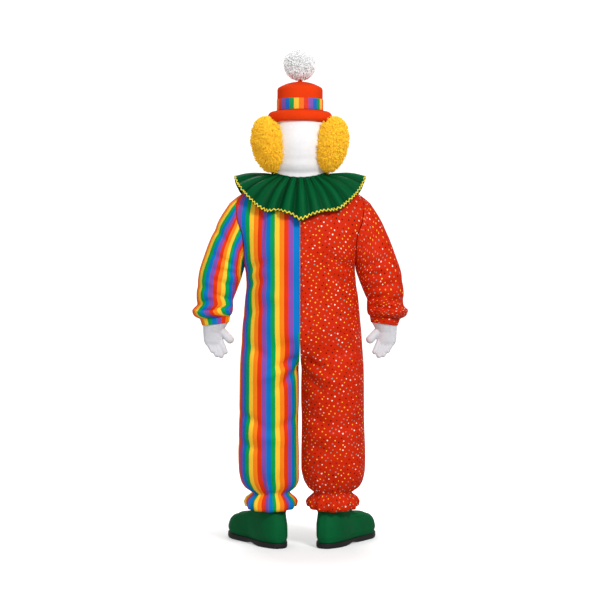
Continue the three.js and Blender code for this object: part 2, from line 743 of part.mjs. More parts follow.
// The rolled brim's outside, from the foot of the crown over its edge to its underside.
const BRIM_ROLL = [
  { radius: 91, z: 1685.5 }, { radius: 104, z: 1685.5 }, { radius: 115, z: 1682 }, { radius: 122, z: 1675 },
  { radius: 125, z: 1665 }, { radius: 124.6, z: 1654 }, { radius: 119, z: 1644.5 }, { radius: 109, z: 1640 },
];
const BAND = { bottom: 1689, top: 1731, thickness: 2 };
const STALK = { radius: 7, columns: 8 };

function turned(profile, columns = HAT.columns) {
  const geometry = new THREE.LatheGeometry(profile.map(([r, z]) => new THREE.Vector2(r, z)), columns);
  geometry.rotateX(Math.PI / 2);
  const merged = mergeVertices(plain(geometry), 1e-4);
  return facingOut(withoutSlivers(merged));
}

function plain(geometry) {
  geometry.deleteAttribute('normal');
  geometry.deleteAttribute('uv');
  return geometry;
}

// Drops the triangles that fall together on the axis once their corners are merged.
function withoutSlivers(geometry) {
  const index = geometry.index.array;
  const kept = [];
  for (let t = 0; t < index.length; t += 3) {
    const [a, b, c] = [index[t], index[t + 1], index[t + 2]];
    if (a !== b && b !== c && a !== c) kept.push(a, b, c);
  }
  geometry.setIndex(kept);
  return geometry;
}

// Half depth of the head's straight-sided rings between two rows of its table.
function headRadius(z) {
  const k = HEAD.findIndex((row) => row.z >= z);
  const t = (z - HEAD[k - 1].z) / (HEAD[k].z - HEAD[k - 1].z);
  return lerp(HEAD[k - 1].depth, HEAD[k].depth, t);
}

// A thick rolled brim whose hole sits on the head. Growing it gives the form that cuts the fur puffs.
function brimGeometry(grow = 0) {
  const reachIn = 20; // the grown form goes into the head, so that its hole cuts nothing
  const fit = grow > 0 ? -reachIn : FIT;
  const middle = { radius: 105, z: 1667 };
  const profile = [
    ...BRIM_SEAT.map((z) => [headRadius(z) + fit, z]),
    [82, BRIM.shelf + grow], [HAT.crownRadius + 2 * FIT, BRIM.shelf + grow],
    ...BRIM_ROLL.map(({ radius, z }) => [
      radius + grow * Math.sign(radius - middle.radius),
      z + grow * Math.sign(z - middle.z),
    ]),
  ];
  profile.push(profile[0]);
  return turned(profile);
}

// A straight crown with a small round shoulder under a low dome.
function crown() {
  const dome = (inset) => DOME_STEPS.map((share) => [
    share * (HAT.crownRadius - inset - 3),
    HAT.dome - inset + (HAT.top - HAT.dome) * (1 - share ** 2.2),
  ]);
  const profile = [
    [HAT.crownRadius, HAT.base], [HAT.crownRadius, HAT.shoulder], ...dome(0),
    ...dome(HAT.felt).reverse(), [HAT.crownRadius - HAT.felt, HAT.shoulder - HAT.felt],
    [HAT.crownRadius - HAT.felt, HAT.base], [HAT.crownRadius, HAT.base],
  ];
  return turned(profile);
}

function hatBand() {
  const inner = HAT.crownRadius + FIT;
  const outer = inner + BAND.thickness;
  const foot = [inner, BAND.bottom];
  return turned([foot, [outer, BAND.bottom], [outer, BAND.top], [inner, BAND.top], foot]);
}

function stalk() {
  const bottom = HAT.top + GAP;
  const top = POMPOM.z - POMPOM.core - GAP;
  return turned([[0, bottom], [STALK.radius, bottom], [STALK.radius, top], [0, top]], STALK.columns);
}

// Yarn pompom: each face of a ball is drawn out into one three-sided lock.
const POMPOM = { core: 50, reach: 65, uneven: 3, z: 1867, bareFoot: -0.93 };

function pompom() {
  const ball = new THREE.IcosahedronGeometry(POMPOM.core, 2);
  const { position } = ball.attributes;
  const corners = [];
  const index = [];
  for (let f = 0; f < position.count; f += 3) {
    const face = [0, 1, 2].map((k) => new THREE.Vector3().fromBufferAttribute(position, f + k));
    const tip = face[0].clone().add(face[1]).add(face[2]);
    const overStalk = tip.clone().normalize().z < POMPOM.bareFoot;
    const reach = POMPOM.reach - POMPOM.uneven * (1 - Math.sin(7 * f));
    tip.setLength(overStalk ? POMPOM.core : reach);
    const start = corners.length / 3;
    [...face, tip].forEach((p) => corners.push(p.x, p.y, p.z + POMPOM.z));
    [[0, 1], [1, 2], [2, 0]].forEach(([a, b]) => index.push(start + a, start + b, start + 3));
  }
  return facingOut(mergeVertices(indexed(corners, index), 1e-3));
}

// ---------------------------------------------------------------- gloves

// Rings of the hand from the wrist down, in the same columns as a cuff's.
const PALM = [
  { outX: 376, outZ: 828, inX: 300, inZ: 832, depth: 27 },
  { outX: 374, outZ: 796, inX: 301, inZ: 792, depth: 19 },
  { outX: 366, outZ: 780, inX: 304, inZ: 777, depth: 13 },
];
// Each finger's root and tip, with its radius at both; the last one is the thumb.
const FINGERS = [
  { rootX: 311, rootZ: 800, tipX: 290, tipZ: 755, root: 12, tip: 10 },
  { rootX: 329, rootZ: 800, tipX: 306, tipZ: 738, root: 12, tip: 10 },
  { rootX: 346, rootZ: 800, tipX: 323, tipZ: 742, root: 12, tip: 10 },
  { rootX: 362, rootZ: 802, tipX: 340, tipZ: 757, root: 11, tip: 9 },
  { rootX: 314, rootZ: 846, tipX: 272, tipZ: 803, root: 15, tip: 16 },
];
const FINGER_CURL = 8;
const KNIT = { wall: 2.4, insideCuff: 0.35, outerSides: 6, innerSides: 4 };

// A rounded tube from a finger's root to its tip, curling a little towards the palm, which faces back.
function fingerSolid(side, finger, shrink, sides) {
  const root = new THREE.Vector3(finger.rootX, 0, finger.rootZ);
  const tip = new THREE.Vector3(finger.tipX, FINGER_CURL, finger.tipZ);
  const line = tip.clone().sub(root);
  const sideways = new THREE.Vector3(-line.z, 0, line.x).normalize();
  const depthways = line.clone().normalize().cross(sideways);
  const stations = [
    { t: 0, size: 1 }, { t: 1, size: 1 }, { t: 1, size: 0.55, past: 0.85 },
  ];
  const rings = stations.map(({ t, size, past = 0 }) => {
    const radius = lerp(finger.root, finger.tip, t) - shrink;
    const centre = root.clone().lerp(tip, t)
      .addScaledVector(line.clone().normalize(), past * radius);
    return Array.from({ length: sides }, (_, i) => {
      const turn = (2 * Math.PI * i) / sides;
      const point = centre.clone()
        .addScaledVector(sideways, radius * size * Math.cos(turn))
        .addScaledVector(depthways, radius * size * Math.sin(turn));
      point.x *= side;
      return point;
    });
  });
  return toManifold(loftSolid(rings));
}

// The hand and its wrist, which reaches up inside the cuff by a share of the cuff's length.
function handSolid(side, shrink, reach, sides) {
  const fit = CLOTH + KNIT.insideCuff + shrink;
  const bottom = armRing(side, CUFF.bottom, -fit);
  const top = armRing(side, CUFF.top, -fit)
    .map((point, i) => bottom[i].clone().lerp(point, reach));
  const palm = PALM.map((row) => armRing(side, row, -shrink));
  let hand = toManifold(loftSolid([top, bottom, ...palm]));
  FINGERS.forEach((finger) => {
    hand = hand.add(fingerSolid(side, finger, shrink, sides));
  });
  return hand;
}

function glove(side) {
  const inside = handSolid(side, KNIT.wall, 1, KNIT.innerSides);
  return fromManifold(handSolid(side, 0, 0.75, KNIT.outerSides).subtract(inside));
}

// ---------------------------------------------------------------- shoes

const SHOE = { x: 114, y: 14, splay: 0.46, columns: 18, back: -76, length: 391, wall: 4, ankle: 15 };
const SOLE = { height: 20, bulge: 11, welt: 4, tuck: 4, archAt: 70, archWidth: 28, archHeight: 7 };
// Half width of the foot outline by the distance from the heel's centre towards the toe.
const FOOT = [
  { at: -76, width: 50 }, { at: 0, width: 62 }, { at: 90, width: 59 }, { at: 170, width: 75 },
  { at: 230, width: 88 }, { at: 290, width: 84 }, { at: 315, width: 74 },
];
// Rows of the upper: how far the outline has closed to the ankle, its height at heel and toe, and its swell.
const UPPER = [
  { close: 0, heel: 20.3, toe: 20.3, swell: -3 },
  { close: 0, heel: 46, toe: 40, swell: 4 },
  { close: 0.07, heel: 80, toe: 67, swell: 4 },
  { close: 0.2, heel: 106, toe: 89, swell: 2 },
  { close: 0.46, heel: 126, toe: 107, swell: 0 },
  { close: 0.88, heel: 150, toe: 131, swell: 0 },
  { close: 1, heel: 176, toe: 170, swell: 0 },
  { close: 1, heel: 208, toe: 208, swell: 6.2 },
];
const ANKLE_RADIUS = 65;

function footOutline(turn, grow) {
  const at = SHOE.back + SHOE.length * (0.5 + 0.5 * Math.cos(turn));
  const width = along(FOOT, 'at', 'width', at);
  return new THREE.Vector2(
    at + grow * Math.cos(turn),
    (width + grow) * rounded(Math.sin(turn), 0.62),
  );
}

// From the foot's own frame, with the toe along its first axis, to its place under the leg.
function footPlace(side, forward, sideways, z) {
  const centreX = SHOE.x - side * SWAY;
  const x = centreX + forward * Math.sin(SHOE.splay) + sideways * Math.cos(SHOE.splay);
  const y = SHOE.y - forward * Math.cos(SHOE.splay) + sideways * Math.sin(SHOE.splay);
  return new THREE.Vector3(side * x, y, z);
}

function upperPoint(side, row, i, shrink) {
  const turn = (2 * Math.PI * i) / SHOE.columns;
  const foot = footOutline(turn, row.swell - shrink);
  const radius = ANKLE_RADIUS + row.swell - shrink;
  const ankle = new THREE.Vector2(SHOE.ankle + radius * Math.cos(turn), radius * Math.sin(turn));
  const place = foot.lerp(ankle, row.close);
  const towardsToe = 0.5 + 0.5 * Math.cos(turn);
  return footPlace(side, place.x, place.y, lerp(row.heel, row.toe, towardsToe));
}

function shoe(side) {
  const outer = gridOf(UPPER, SHOE.columns, (row, i) => upperPoint(side, row, i, 0));
  // Only rows that lie partly flat, over the instep, need their inside lowered as well.
  const roof = (row) => smoothstep(row.close, 0.1, 0.35) * (1 - smoothstep(row.close, 0.8, 1));
  const inner = gridOf(UPPER, SHOE.columns, (row, i) => {
    const point = upperPoint(side, row, i, SHOE.wall);
    const towardsToe = 0.5 + 0.5 * Math.cos((2 * Math.PI * i) / SHOE.columns);
    point.z -= SHOE.wall * roof(row) * towardsToe;
    return point;
  });
  return wallGeometry(outer, inner, true);
}

// The sole is a slab with a rounded edge and a low arch between heel and ball.
function sole(side) {
  const levels = [
    { grow: SOLE.welt - 1, z: SOLE.height },
    { grow: SOLE.welt, z: SOLE.bulge },
    { grow: SOLE.welt - SOLE.tuck, z: 0 },
  ];
  const archAt = (forward) => SOLE.archHeight * Math.exp(-(((forward - SOLE.archAt) / SOLE.archWidth) ** 2));
  const rings = levels.map(({ grow, z }) => Array.from({ length: SHOE.columns }, (_, i) => {
    const place = footOutline((2 * Math.PI * i) / SHOE.columns, grow);
    return footPlace(side, place.x, place.y, z === 0 ? archAt(place.x) : z);
  }));
  return slabSolid(rings);
}

// Rings of an outline that is alike on both sides, closed with strips from side to side.
function slabSolid(rings) {
  const columns = rings[0].length;
  const positions = rings.flat().flatMap((p) => [p.x, p.y, p.z]);
  const index = [];
  for (let j = 0; j < rings.length - 1; j += 1) {
    for (let i = 0; i < columns; i += 1) {
      const a = j * columns + i;
      const b = j * columns + ((i + 1) % columns);
      index.push(a, b, b + columns, a, b + columns, a + columns);
    }
  }
  [0, rings.length - 1].forEach((end) => {
    const at = (i) => end * columns + ((i + columns) % columns);
    for (let i = 0; i < columns / 2; i += 1) {
      const [a, b, c, d] = [at(i), at(i + 1), at(-i - 1), at(-i)];
      const strip = i === 0 ? [a, b, c] : i === columns / 2 - 1 ? [a, b, d] : [a, b, c, a, c, d];
      index.push(...(end === 0 ? strip.reverse() : strip));
    }
  });
  return facingOut(indexed(positions, index));
}

// ---------------------------------------------------------------- the costume

const costume = new THREE.Group();
costume.position.z = -NECK_HEIGHT;

function add(name, geometry, material) {
  const mesh = new THREE.Mesh(geometry, material);
  mesh.name = name;
  costume.add(mesh);
}

const SIDES = [
  { word: 'left', side: LEFT, cloth: STRIPED },
  { word: 'right', side: RIGHT, cloth: DOTTED },
];

SIDES.forEach(({ word, side, cloth }) => {
  add(`back_${word}`, panel(side, BACK), cloth);
  add(`front_${word}`, panel(side, FRONT), cloth);
  add(`sleeve_${word}`, sleeve(side), cloth);
  add(`cuff_${word}`, cuff(side), cloth);
  add(`head_${word}`, headHalf(side), PLUSH);
  add(`hair_${word}`, puff(side), FUR);
  add(`eye_${word}`, eye(side), BLACK_FELT);
  add(`glove_${word}`, glove(side), JERSEY);
  add(`shoe_${word}`, shoe(side), SUEDE);
  add(`sole_${word}`, sole(side), RUBBER);
});
add('neckband', neckband(), SATIN);
add('collar', collar(), SATIN);
add('collar_trim', collarTrim(), BRAID);
add('hat_crown', crown(), FELT);
add('hat_brim', brimGeometry(), FELT);
add('hat_band', hatBand(), RIBBON);
add('hat_stalk', stalk(), FELT);
add('pompom', pompom(), YARN);
add('nose', nose(), RED_FOAM);
add('mouth', mouth(), RED_FOAM);

export default costume;
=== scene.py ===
"""Looks of a two-colour clown mascot costume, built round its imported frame.

Metres. +X is the wearer's left, -Y the front, +Z up. Heights in the tables are measured from the floor, and
NECK_HEIGHT is taken off where a point becomes a vertex, because the frame's origin is at the neck.
"""

import json
import math
import random

import bmesh
import bpy
import numpy
from mathutils import Matrix, Vector, noise


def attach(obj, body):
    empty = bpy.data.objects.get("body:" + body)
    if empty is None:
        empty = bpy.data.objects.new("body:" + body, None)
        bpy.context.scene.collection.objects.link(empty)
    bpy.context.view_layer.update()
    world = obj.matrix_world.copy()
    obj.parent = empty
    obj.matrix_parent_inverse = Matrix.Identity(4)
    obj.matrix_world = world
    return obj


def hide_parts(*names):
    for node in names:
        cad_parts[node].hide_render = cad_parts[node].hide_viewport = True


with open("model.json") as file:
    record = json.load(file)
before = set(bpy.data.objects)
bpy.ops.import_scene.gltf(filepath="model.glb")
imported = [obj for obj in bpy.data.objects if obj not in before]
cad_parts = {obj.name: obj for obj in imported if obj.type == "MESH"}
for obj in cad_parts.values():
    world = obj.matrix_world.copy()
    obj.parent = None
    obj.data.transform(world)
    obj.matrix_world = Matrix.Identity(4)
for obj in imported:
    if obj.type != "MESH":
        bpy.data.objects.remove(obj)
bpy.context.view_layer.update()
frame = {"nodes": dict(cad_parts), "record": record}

NECK_HEIGHT = 1.416
LEFT, RIGHT = 1, -1
BACK, FRONT = 1, -1
TAU = 2 * math.pi
SEAM = 0.00015  # half of the gap that two sewn pieces keep
CLOTH = 0.002
SWAY = 0.007  # how far the figure stands over to its right


# ------------------------------------------------------------------ tables and small maths


class Table:
    """Rows of named columns; at() reads one column smoothly along the first, with no overshoot."""

    def __init__(self, columns, rows):
        self.columns = columns.split()
        self.rows = sorted(rows)

    def at(self, place, column):
        c = self.columns.index(column)
        rows = self.rows
        last = len(rows) - 1
        x = min(max(place, rows[0][0]), rows[last][0])
        k = 0
        while k < last - 1 and x > rows[k + 1][0]:
            k += 1

        def slope(i):
            return (rows[i + 1][c] - rows[i][c]) / (rows[i + 1][0] - rows[i][0])

        def tangent(i):
            if i == 0:
                return slope(0)
            if i == last:
                return slope(last - 1)
            before, after = slope(i - 1), slope(i)
            return 0 if before * after <= 0 else 2 * before * after / (before + after)

        width = rows[k + 1][0] - rows[k][0]
        t = (x - rows[k][0]) / width
        return (
            (2 * t**3 - 3 * t**2 + 1) * rows[k][c]
            + (t**3 - 2 * t**2 + t) * width * tangent(k)
            + (3 * t**2 - 2 * t**3) * rows[k + 1][c]
            + (t**3 - t**2) * width * tangent(k + 1)
        )


def clamp(x, low=0.0, high=1.0):
    return min(max(x, low), high)


def lerp(a, b, t):
    return a + (b - a) * t


def smooth(x):
    x = clamp(x)
    return x * x * (3 - 2 * x)


def rounded(value, power):
    return math.copysign(abs(value) ** power, value)


def bell(distance, width):
    return math.exp(-((distance / width) ** 2))


# ------------------------------------------------------------------ materials


def paint(code):
    """Linear colour of an sRGB hex code."""
    channels = [int(code[i : i + 2], 16) / 255 for i in (0, 2, 4)]
    return tuple(c / 12.92 if c <= 0.04045 else ((c + 0.055) / 1.055) ** 2.4 for c in channels) + (1.0,)


def maths(operation):
    """A method that takes a socket, and what follows it, through one Math node."""
    def method(self, *others):
        return self.finish.node("Math", dict(enumerate((self, *others))), operation=operation)

    return method


class Sock:
    """A socket of a finish, so that shader maths is written as maths."""

    def __init__(self, finish, out):
        self.finish = finish
        self.out = out

    __add__, __sub__, __mul__, __pow__ = (maths(o) for o in ("ADD", "SUBTRACT", "MULTIPLY", "POWER"))
    sine, fract = maths("SINE"), maths("FRACT")

    def waves(self, pitch):
        return (self * (TAU / pitch)).sine()

    def between(self, low, high):
        """0 below low, 1 above high and smooth in between."""
        return self.finish.node(
            "MapRange", {"Value": self, "From Min": low, "From Max": high}, interpolation_type="SMOOTHSTEP"
        )


class Finish:
    """A material being made. node() adds any node, and the rest are shorthands for it."""

    def __init__(self, name, roughness, **uniform):
        self.material = bpy.data.materials.new(name)
        self.material.use_nodes = True
        self.tree = self.material.node_tree
        self.shader = self.tree.nodes["Principled BSDF"]
        self.shader.inputs["Roughness"].default_value = roughness
        for key, value in uniform.items():
            self.shader.inputs[key.replace("_", " ").title().replace("Ior", "IOR")].default_value = value

    def node(self, kind, inputs=None, output=0, stops=None, **settings):
        node = self.tree.nodes.new("ShaderNode" + kind)
        for key, value in settings.items():
            setattr(node, key, value)
        if stops:
            ramp = node.color_ramp
            ramp.interpolation = "CONSTANT" if stops[0] == "steps" else "LINEAR"
            places = stops[1:] if stops[0] == "steps" else stops
            while len(ramp.elements) < len(places):
                ramp.elements.new(1.0)
            for element, (position, color) in zip(ramp.elements, places):
                element.position = position
                element.color = color
        for key, value in (inputs or {}).items():
            if isinstance(value, Sock):
                self.tree.links.new(value.out, node.inputs[key])
            else:
                node.inputs[key].default_value = value
        return Sock(self, node.outputs[output])

    def object_place(self):
        return self.node("TexCoord", output="Object")

    def cut_place(self):
        return self.node("UVMap", uv_map="cut")

    def painted(self, name):
        """A value that the mesh carries at each of its points."""
        return self.node("Attribute", output="Fac", attribute_name=name)

    def split(self, vector):
        separate = self.node("SeparateXYZ", {0: vector})
        return [Sock(self, separate.out.node.outputs[k]) for k in range(3)]

    def noise(self, place, scale, detail=3.0):
        return self.node("TexNoise", {"Vector": place, "Scale": scale, "Detail": detail}, output="Fac")

    def mix(self, factor, a, b, blend="MIX"):
        return self.node("Mix", {0: factor, 6: a, 7: b}, output=2, data_type="RGBA", blend_type=blend)

    def shade(self, color, amount, low=0.8, high=1.12):
        """The colour made darker or lighter by a value from 0 to 1."""
        grey = self.node("MapRange", {"Value": amount, "To Min": low, "To Max": high})
        return self.mix(1.0, color, self.node("CombineColor", {0: grey, 1: grey, 2: grey}), "MULTIPLY")

    def bump(self, height, distance):
        return self.node("Bump", {"Height": height, "Distance": distance, "Strength": 1.0})

    def wire(self, color=None, roughness=None, normal=None):
        for key, value in (("Base Color", color), ("Roughness", roughness), ("Normal", normal)):
            if isinstance(value, Sock):
                self.tree.links.new(value.out, self.shader.inputs[key])
            elif value is not None:
                self.shader.inputs[key].default_value = value
        return self.material


STRIPE = 0.0176
STRIPE_COLOURS = ["0a78c6", "8650ae", "e43614", "ff8418", "ffcb38", "08a04e"]  # from the centre back outwards
THREAD = 0.0009
WEAVE_DEPTH = 0.00012


def in_steps(codes):
    """Colour stops of equal bands with hard edges."""
    return ["steps"] + [(k / len(codes), paint(code)) for k, code in enumerate(codes)]


def woven(finish, place, color, rough):
    """Gives a satin its colour, its roughness and a fine weave with faint slubs, on the cloth's own cut."""
    u, v, _ = finish.split(place)
    warp = u.waves(THREAD)
    weft = v.waves(THREAD)
    slub = finish.noise(place, 240.0, 2.0)
    return finish.wire(color, rough, finish.bump(warp * weft * 0.5 + slub * 0.6, WEAVE_DEPTH))


def cloth_roughness(finish, place):
    return finish.noise(place, 120.0, 2.0) * 0.12 + 0.48


def striped_cloth():
    finish = Finish("striped satin", 0.62, specular_ior_level=0.05)
    place = finish.cut_place()
    u, v, _ = finish.split(place)
    waver = finish.noise(place, 16.0, 2.0) - 0.5
    turn = ((u + waver * 0.0012) * (1 / (6 * STRIPE)) + 40.0).fract()
    color = finish.node("ValToRGB", {"Fac": turn}, stops=in_steps(STRIPE_COLOURS))
    patch = finish.noise(place, 9.0, 3.0)
    color = finish.shade(color, patch, 0.8, 1.05)
    return woven(finish, place, color, cloth_roughness(finish, place))


DOT_PITCH = 0.0178
DOT_RADIUS = 0.0028
DOT_ROWS_SLANT = math.radians(33)


def dotted_cloth():
    finish = Finish("dotted satin", 0.62, specular_ior_level=0.05)
    place = finish.cut_place()
    slanted = finish.node("VectorRotate", {"Vector": place, "Angle": DOT_ROWS_SLANT}, rotation_type="Z_AXIS")
    cell = {"Vector": slanted, "Scale": 1 / DOT_PITCH, "Randomness": 0.45}
    distance = finish.node("TexVoronoi", cell, output="Distance", voronoi_dimensions="2D")
    token = finish.node("TexVoronoi", cell, output="Color", voronoi_dimensions="2D")
    pick, size, _ = finish.split(token)
    radius = (size * 0.35 + 0.8) * (DOT_RADIUS / DOT_PITCH)
    inside = (radius - distance).between(-0.012, 0.03)
    ink = finish.node(
        "ValToRGB",
        {"Fac": pick},
        stops=["steps", (0.0, paint("fff0dc")), (0.13, paint("ffb43a")), (0.37, paint("a08a78")),
               (0.62, paint("3c100a")), (0.84, paint("7c9490")), (0.95, paint("ffd05c"))],
    )
    ground = finish.shade(paint("ce2806"), finish.noise(place, 9.0, 3.0), 0.82, 1.06)
    color = finish.mix(inside, ground, ink)
    return woven(finish, place, color, cloth_roughness(finish, place))


def green_satin():
    finish = Finish("green satin", 0.5, specular_ior_level=0.04)
    place = finish.cut_place()
    color = finish.shade(paint("005029"), finish.noise(place, 14.0, 3.0), 0.85, 1.12)
    # painted shade in the collar's folds and painted highlight on their crests, read from its fold attribute
    color = finish.shade(color, finish.painted("fold") * 0.5 + 0.5, 0.3, 1.42)
    return woven(finish, place, color, finish.noise(place, 90.0, 2.0) * 0.14 + 0.34)


def braid():
    finish = Finish("yellow braid", 0.7, specular_ior_level=0.25)
    place = finish.cut_place()
    u, v, _ = finish.split(place)
    cords = u.waves(0.0016) * 0.5 + v.waves(0.0012) * 0.5
    color = finish.shade(paint("fbe243"), finish.noise(place, 60.0), 0.86, 1.15)
    return finish.wire(color, None, finish.bump(cords, 0.0004))


def pile(name, code, coarse, fine, depth, low=0.84, high=1.08, roughness=0.95, painted_root_shade=None, **uniform):
    """A short-pile or brushed finish on Object coordinates, such as plush, felt or suede. Where a painted
    root shade is given, strands are painted darker towards their backing, as painted shade between them."""
    finish = Finish(name, roughness, specular_ior_level=0.1, **uniform)
    place = finish.object_place()
    tone = finish.noise(place, coarse, 4.0)
    fibre = finish.noise(place, fine, 3.0)
    color = finish.shade(finish.shade(paint(code), tone, low, high), fibre, 0.93, 1.05)
    if painted_root_shade:
        # painted shade: strands darker at their base and lighter at their ends, by the tip attribute
        color = finish.shade(color, finish.painted("tip"), painted_root_shade, 1.08)
    rough = tone * 0.1 + (roughness - 0.06)
    return finish.wire(color, rough, finish.bump(fibre + tone * 0.3, depth))


def jersey():
    finish = Finish("white jersey", 0.85, specular_ior_level=0.25)
    place = finish.object_place()
    x, y, z = finish.split(place)
    ribs = (x + y).waves(0.0017) * z.waves(0.0021)
    color = finish.shade(paint("dedee3"), finish.noise(place, 22.0), 0.86, 1.05)
    return finish.wire(color, None, finish.bump(ribs + finish.noise(place, 400.0), 0.0002))


RIBBON_STRIPES = 30
RIBBON_COLOURS = ["ffc63a", "ff7418", "e03418", "8456b4", "1469c8", "0a9a50"]


def hat_ribbon():
    """Grosgrain ribbon in upright stripes, counted by the turn round the hat."""
    finish = Finish("striped ribbon", 0.55, specular_ior_level=0.25)
    place = finish.object_place()
    x, y, z = finish.split(place)
    angle = finish.node("Math", {0: x, 1: y}, operation="ARCTAN2")
    turn = (angle * (-RIBBON_STRIPES / 6 / TAU) + 40.2065).fract()
    color = finish.node("ValToRGB", {"Fac": turn}, stops=in_steps(RIBBON_COLOURS))
    ribs = z.waves(0.0016)
    color = finish.shade(color, finish.noise(place, 40.0), 0.85, 1.1)
    return finish.wire(color, None, finish.bump(ribs, 0.0002))


def rubber():
    finish = Finish("black rubber", 0.6, specular_ior_level=0.3)
    place = finish.object_place()
    grain = finish.noise(place, 300.0, 3.0)
    color = finish.shade(paint("101010"), finish.noise(place, 12.0), 0.7, 1.3)
    return finish.wire(color, finish.noise(place, 30.0) * 0.2 + 0.5, finish.bump(grain, 0.0003))


FINISHES = {
    "striped_cloth": striped_cloth(),
    "dotted_cloth": dotted_cloth(),
    "green_satin": green_satin(),
    "yellow_braid": braid(),
    "white_plush": pile("white plush", "eae8e9", 60.0, 420.0, 0.0012, 0.93, 1.03),
    # yellow_fur: painted shade at the base of the locks
    "yellow_fur": pile("yellow fur", "ffd23c", 70.0, 500.0, 0.0008, 0.96, 1.16, painted_root_shade=0.78,
                       sheen_weight=0.4, sheen_roughness=0.45, sheen_tint=paint("ffcc2c"),
                       # painted glow: the fur emits a little light of its own colour, standing for light
                       # scattered through it
                       emission_color=paint("ffbc28"), emission_strength=0.11),
    "orange_felt": pile("orange felt", "de3a0a", 24.0, 520.0, 0.0007, 0.88, 1.08),
    "striped_ribbon": hat_ribbon(),
    # white_yarn: painted shade at the base of the strands
    "white_yarn": pile("white yarn", "ffffff", 60.0, 600.0, 0.0006, 0.97, 1.04, painted_root_shade=0.94, sheen_weight=0.5),
    "white_jersey": jersey(),
    "green_suede": pile("green suede", "00592e", 14.0, 380.0, 0.0008, 0.66, 1.22, 0.75),
    "black_rubber": rubber(),
    "red_foam": pile("red foam", "d81e12", 18.0, 260.0, 0.0004, 0.9, 1.08, 0.6),
    "black_felt": pile("black felt", "18181a", 30.0, 420.0, 0.0005, 0.8, 1.2, 0.8),
}


# ------------------------------------------------------------------ making pieces


def placed(name, data):
    thing = bpy.data.objects.new(name, data)
    bpy.context.scene.collection.objects.link(thing)
    return thing


def ball(bm, subdivisions, radius, middle):
    made = bmesh.ops.create_icosphere(bm, subdivisions=subdivisions, radius=radius)
    bmesh.ops.translate(bm, vec=middle, verts=made["verts"])


def as_mesh(bm, name):
    mesh = bpy.data.meshes.new(name)
    bm.to_mesh(mesh)
    bm.free()
    return mesh


def facing(mesh, way):
    """The sheet with its doubles merged and its faces turned towards a direction."""
    bm = bmesh.new()
    bm.from_mesh(mesh)
    bmesh.ops.remove_doubles(bm, verts=bm.verts, dist=1e-5)
    if sum(f.normal.dot(way) * f.calc_area() for f in bm.faces) < 0:
        bmesh.ops.reverse_faces(bm, faces=bm.faces)
    bm.to_mesh(mesh)
    bm.free()
    return mesh


def finished(name, mesh, slot, *nodes, thickness=0.0, levels=0):
    """A mesh made into a piece that stands for CAD nodes, with its finish, wall and softness."""
    piece = placed(name, mesh)
    mesh.materials.append(FINISHES[slot])
    mesh.shade_smooth()
    if thickness:
        wall = piece.modifiers.new("wall", "SOLIDIFY")
        wall.thickness = thickness
        wall.offset = -1
    if levels:
        soft = piece.modifiers.new("soft", "SUBSURF")
        soft.levels = soft.render_levels = levels
    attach(piece, "root")
    if nodes:
        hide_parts(*nodes)
    return piece


def face_outwards(bm):
    """Turns an open sheet's faces away from its middle."""
    middle = sum((v.co for v in bm.verts), Vector()) / len(bm.verts)
    bm.normal_update()
    if sum(v.normal.dot(v.co - middle) for v in bm.verts) < 0:
        bmesh.ops.reverse_faces(bm, faces=bm.faces)
    bm.normal_update()


def sheet_mesh(name, columns, rows, surface, cut, relief=None, wrap=False, settle=None, fold=None):
    """A grid bent into cloth.

    surface(s, t) places it, cut(s, t) lays it flat for its pattern, relief(s, t, point) is how far its folds
    stand out, settle(point) keeps it inside its seams, and fold(s, t) is stored on it as painted shade and
    highlight for its finish.
    """
    bm = bmesh.new()
    bmesh.ops.create_grid(bm, x_segments=columns, y_segments=rows, size=0.5)
    chart = bm.loops.layers.uv.new("cut")
    # the fold attribute carries the collar's painted shade and highlight to its finish
    tone = bm.verts.layers.float.new("fold") if fold else None
    where = {v: (v.co.x + 0.5, v.co.y + 0.5) for v in bm.verts}
    if fold:
        for v, (s, t) in where.items():
            v[tone] = fold(s, t)
    for face in bm.faces:
        for loop in face.loops:
            loop[chart].uv = cut(*where[loop.vert])
    for v in bm.verts:
        v.co = surface(*where[v])
    face_outwards(bm)
    if relief:
        moved = {v: v.co + v.normal * relief(*where[v], v.co) for v in bm.verts}
        if wrap:
            ends = {}
            for v, (s, t) in where.items():
                if s < 1e-6 or s > 1 - 1e-6:
                    ends.setdefault(round(t, 6), []).append(v)
            for pair in ends.values():
                middle = sum((moved[v] for v in pair), Vector()) / len(pair)
                for v in pair:
                    moved[v] = middle
        for v, place in moved.items():
            v.co = place
    if settle:
        for v in bm.verts:
            v.co = settle(v.co)
    if wrap:
        bmesh.ops.remove_doubles(bm, verts=bm.verts, dist=1e-6)
    return as_mesh(bm, name)


def lowered(point):
    return Vector((point[0], point[1], point[2] - NECK_HEIGHT))


def mirrored(side, point):
    return lowered((side * point.x, point.y, point.z))


# ------------------------------------------------------------------ the suit's panels

NECK_WIDTH, NECK_DEPTH = 0.108, 0.098
NECK_BACK, NECK_SIDE, NECK_FRONT = 1.416, 1.440, 1.408
SHOULDER = Vector((0.237, 0, 1.360))
UNDERARM = 1.085
SEAT, CROTCH, THIGH = 0.840, 0.698, 0.610
ARMHOLE_DEPTH = 0.074
HEM, ANKLE = 0.149, 0.207

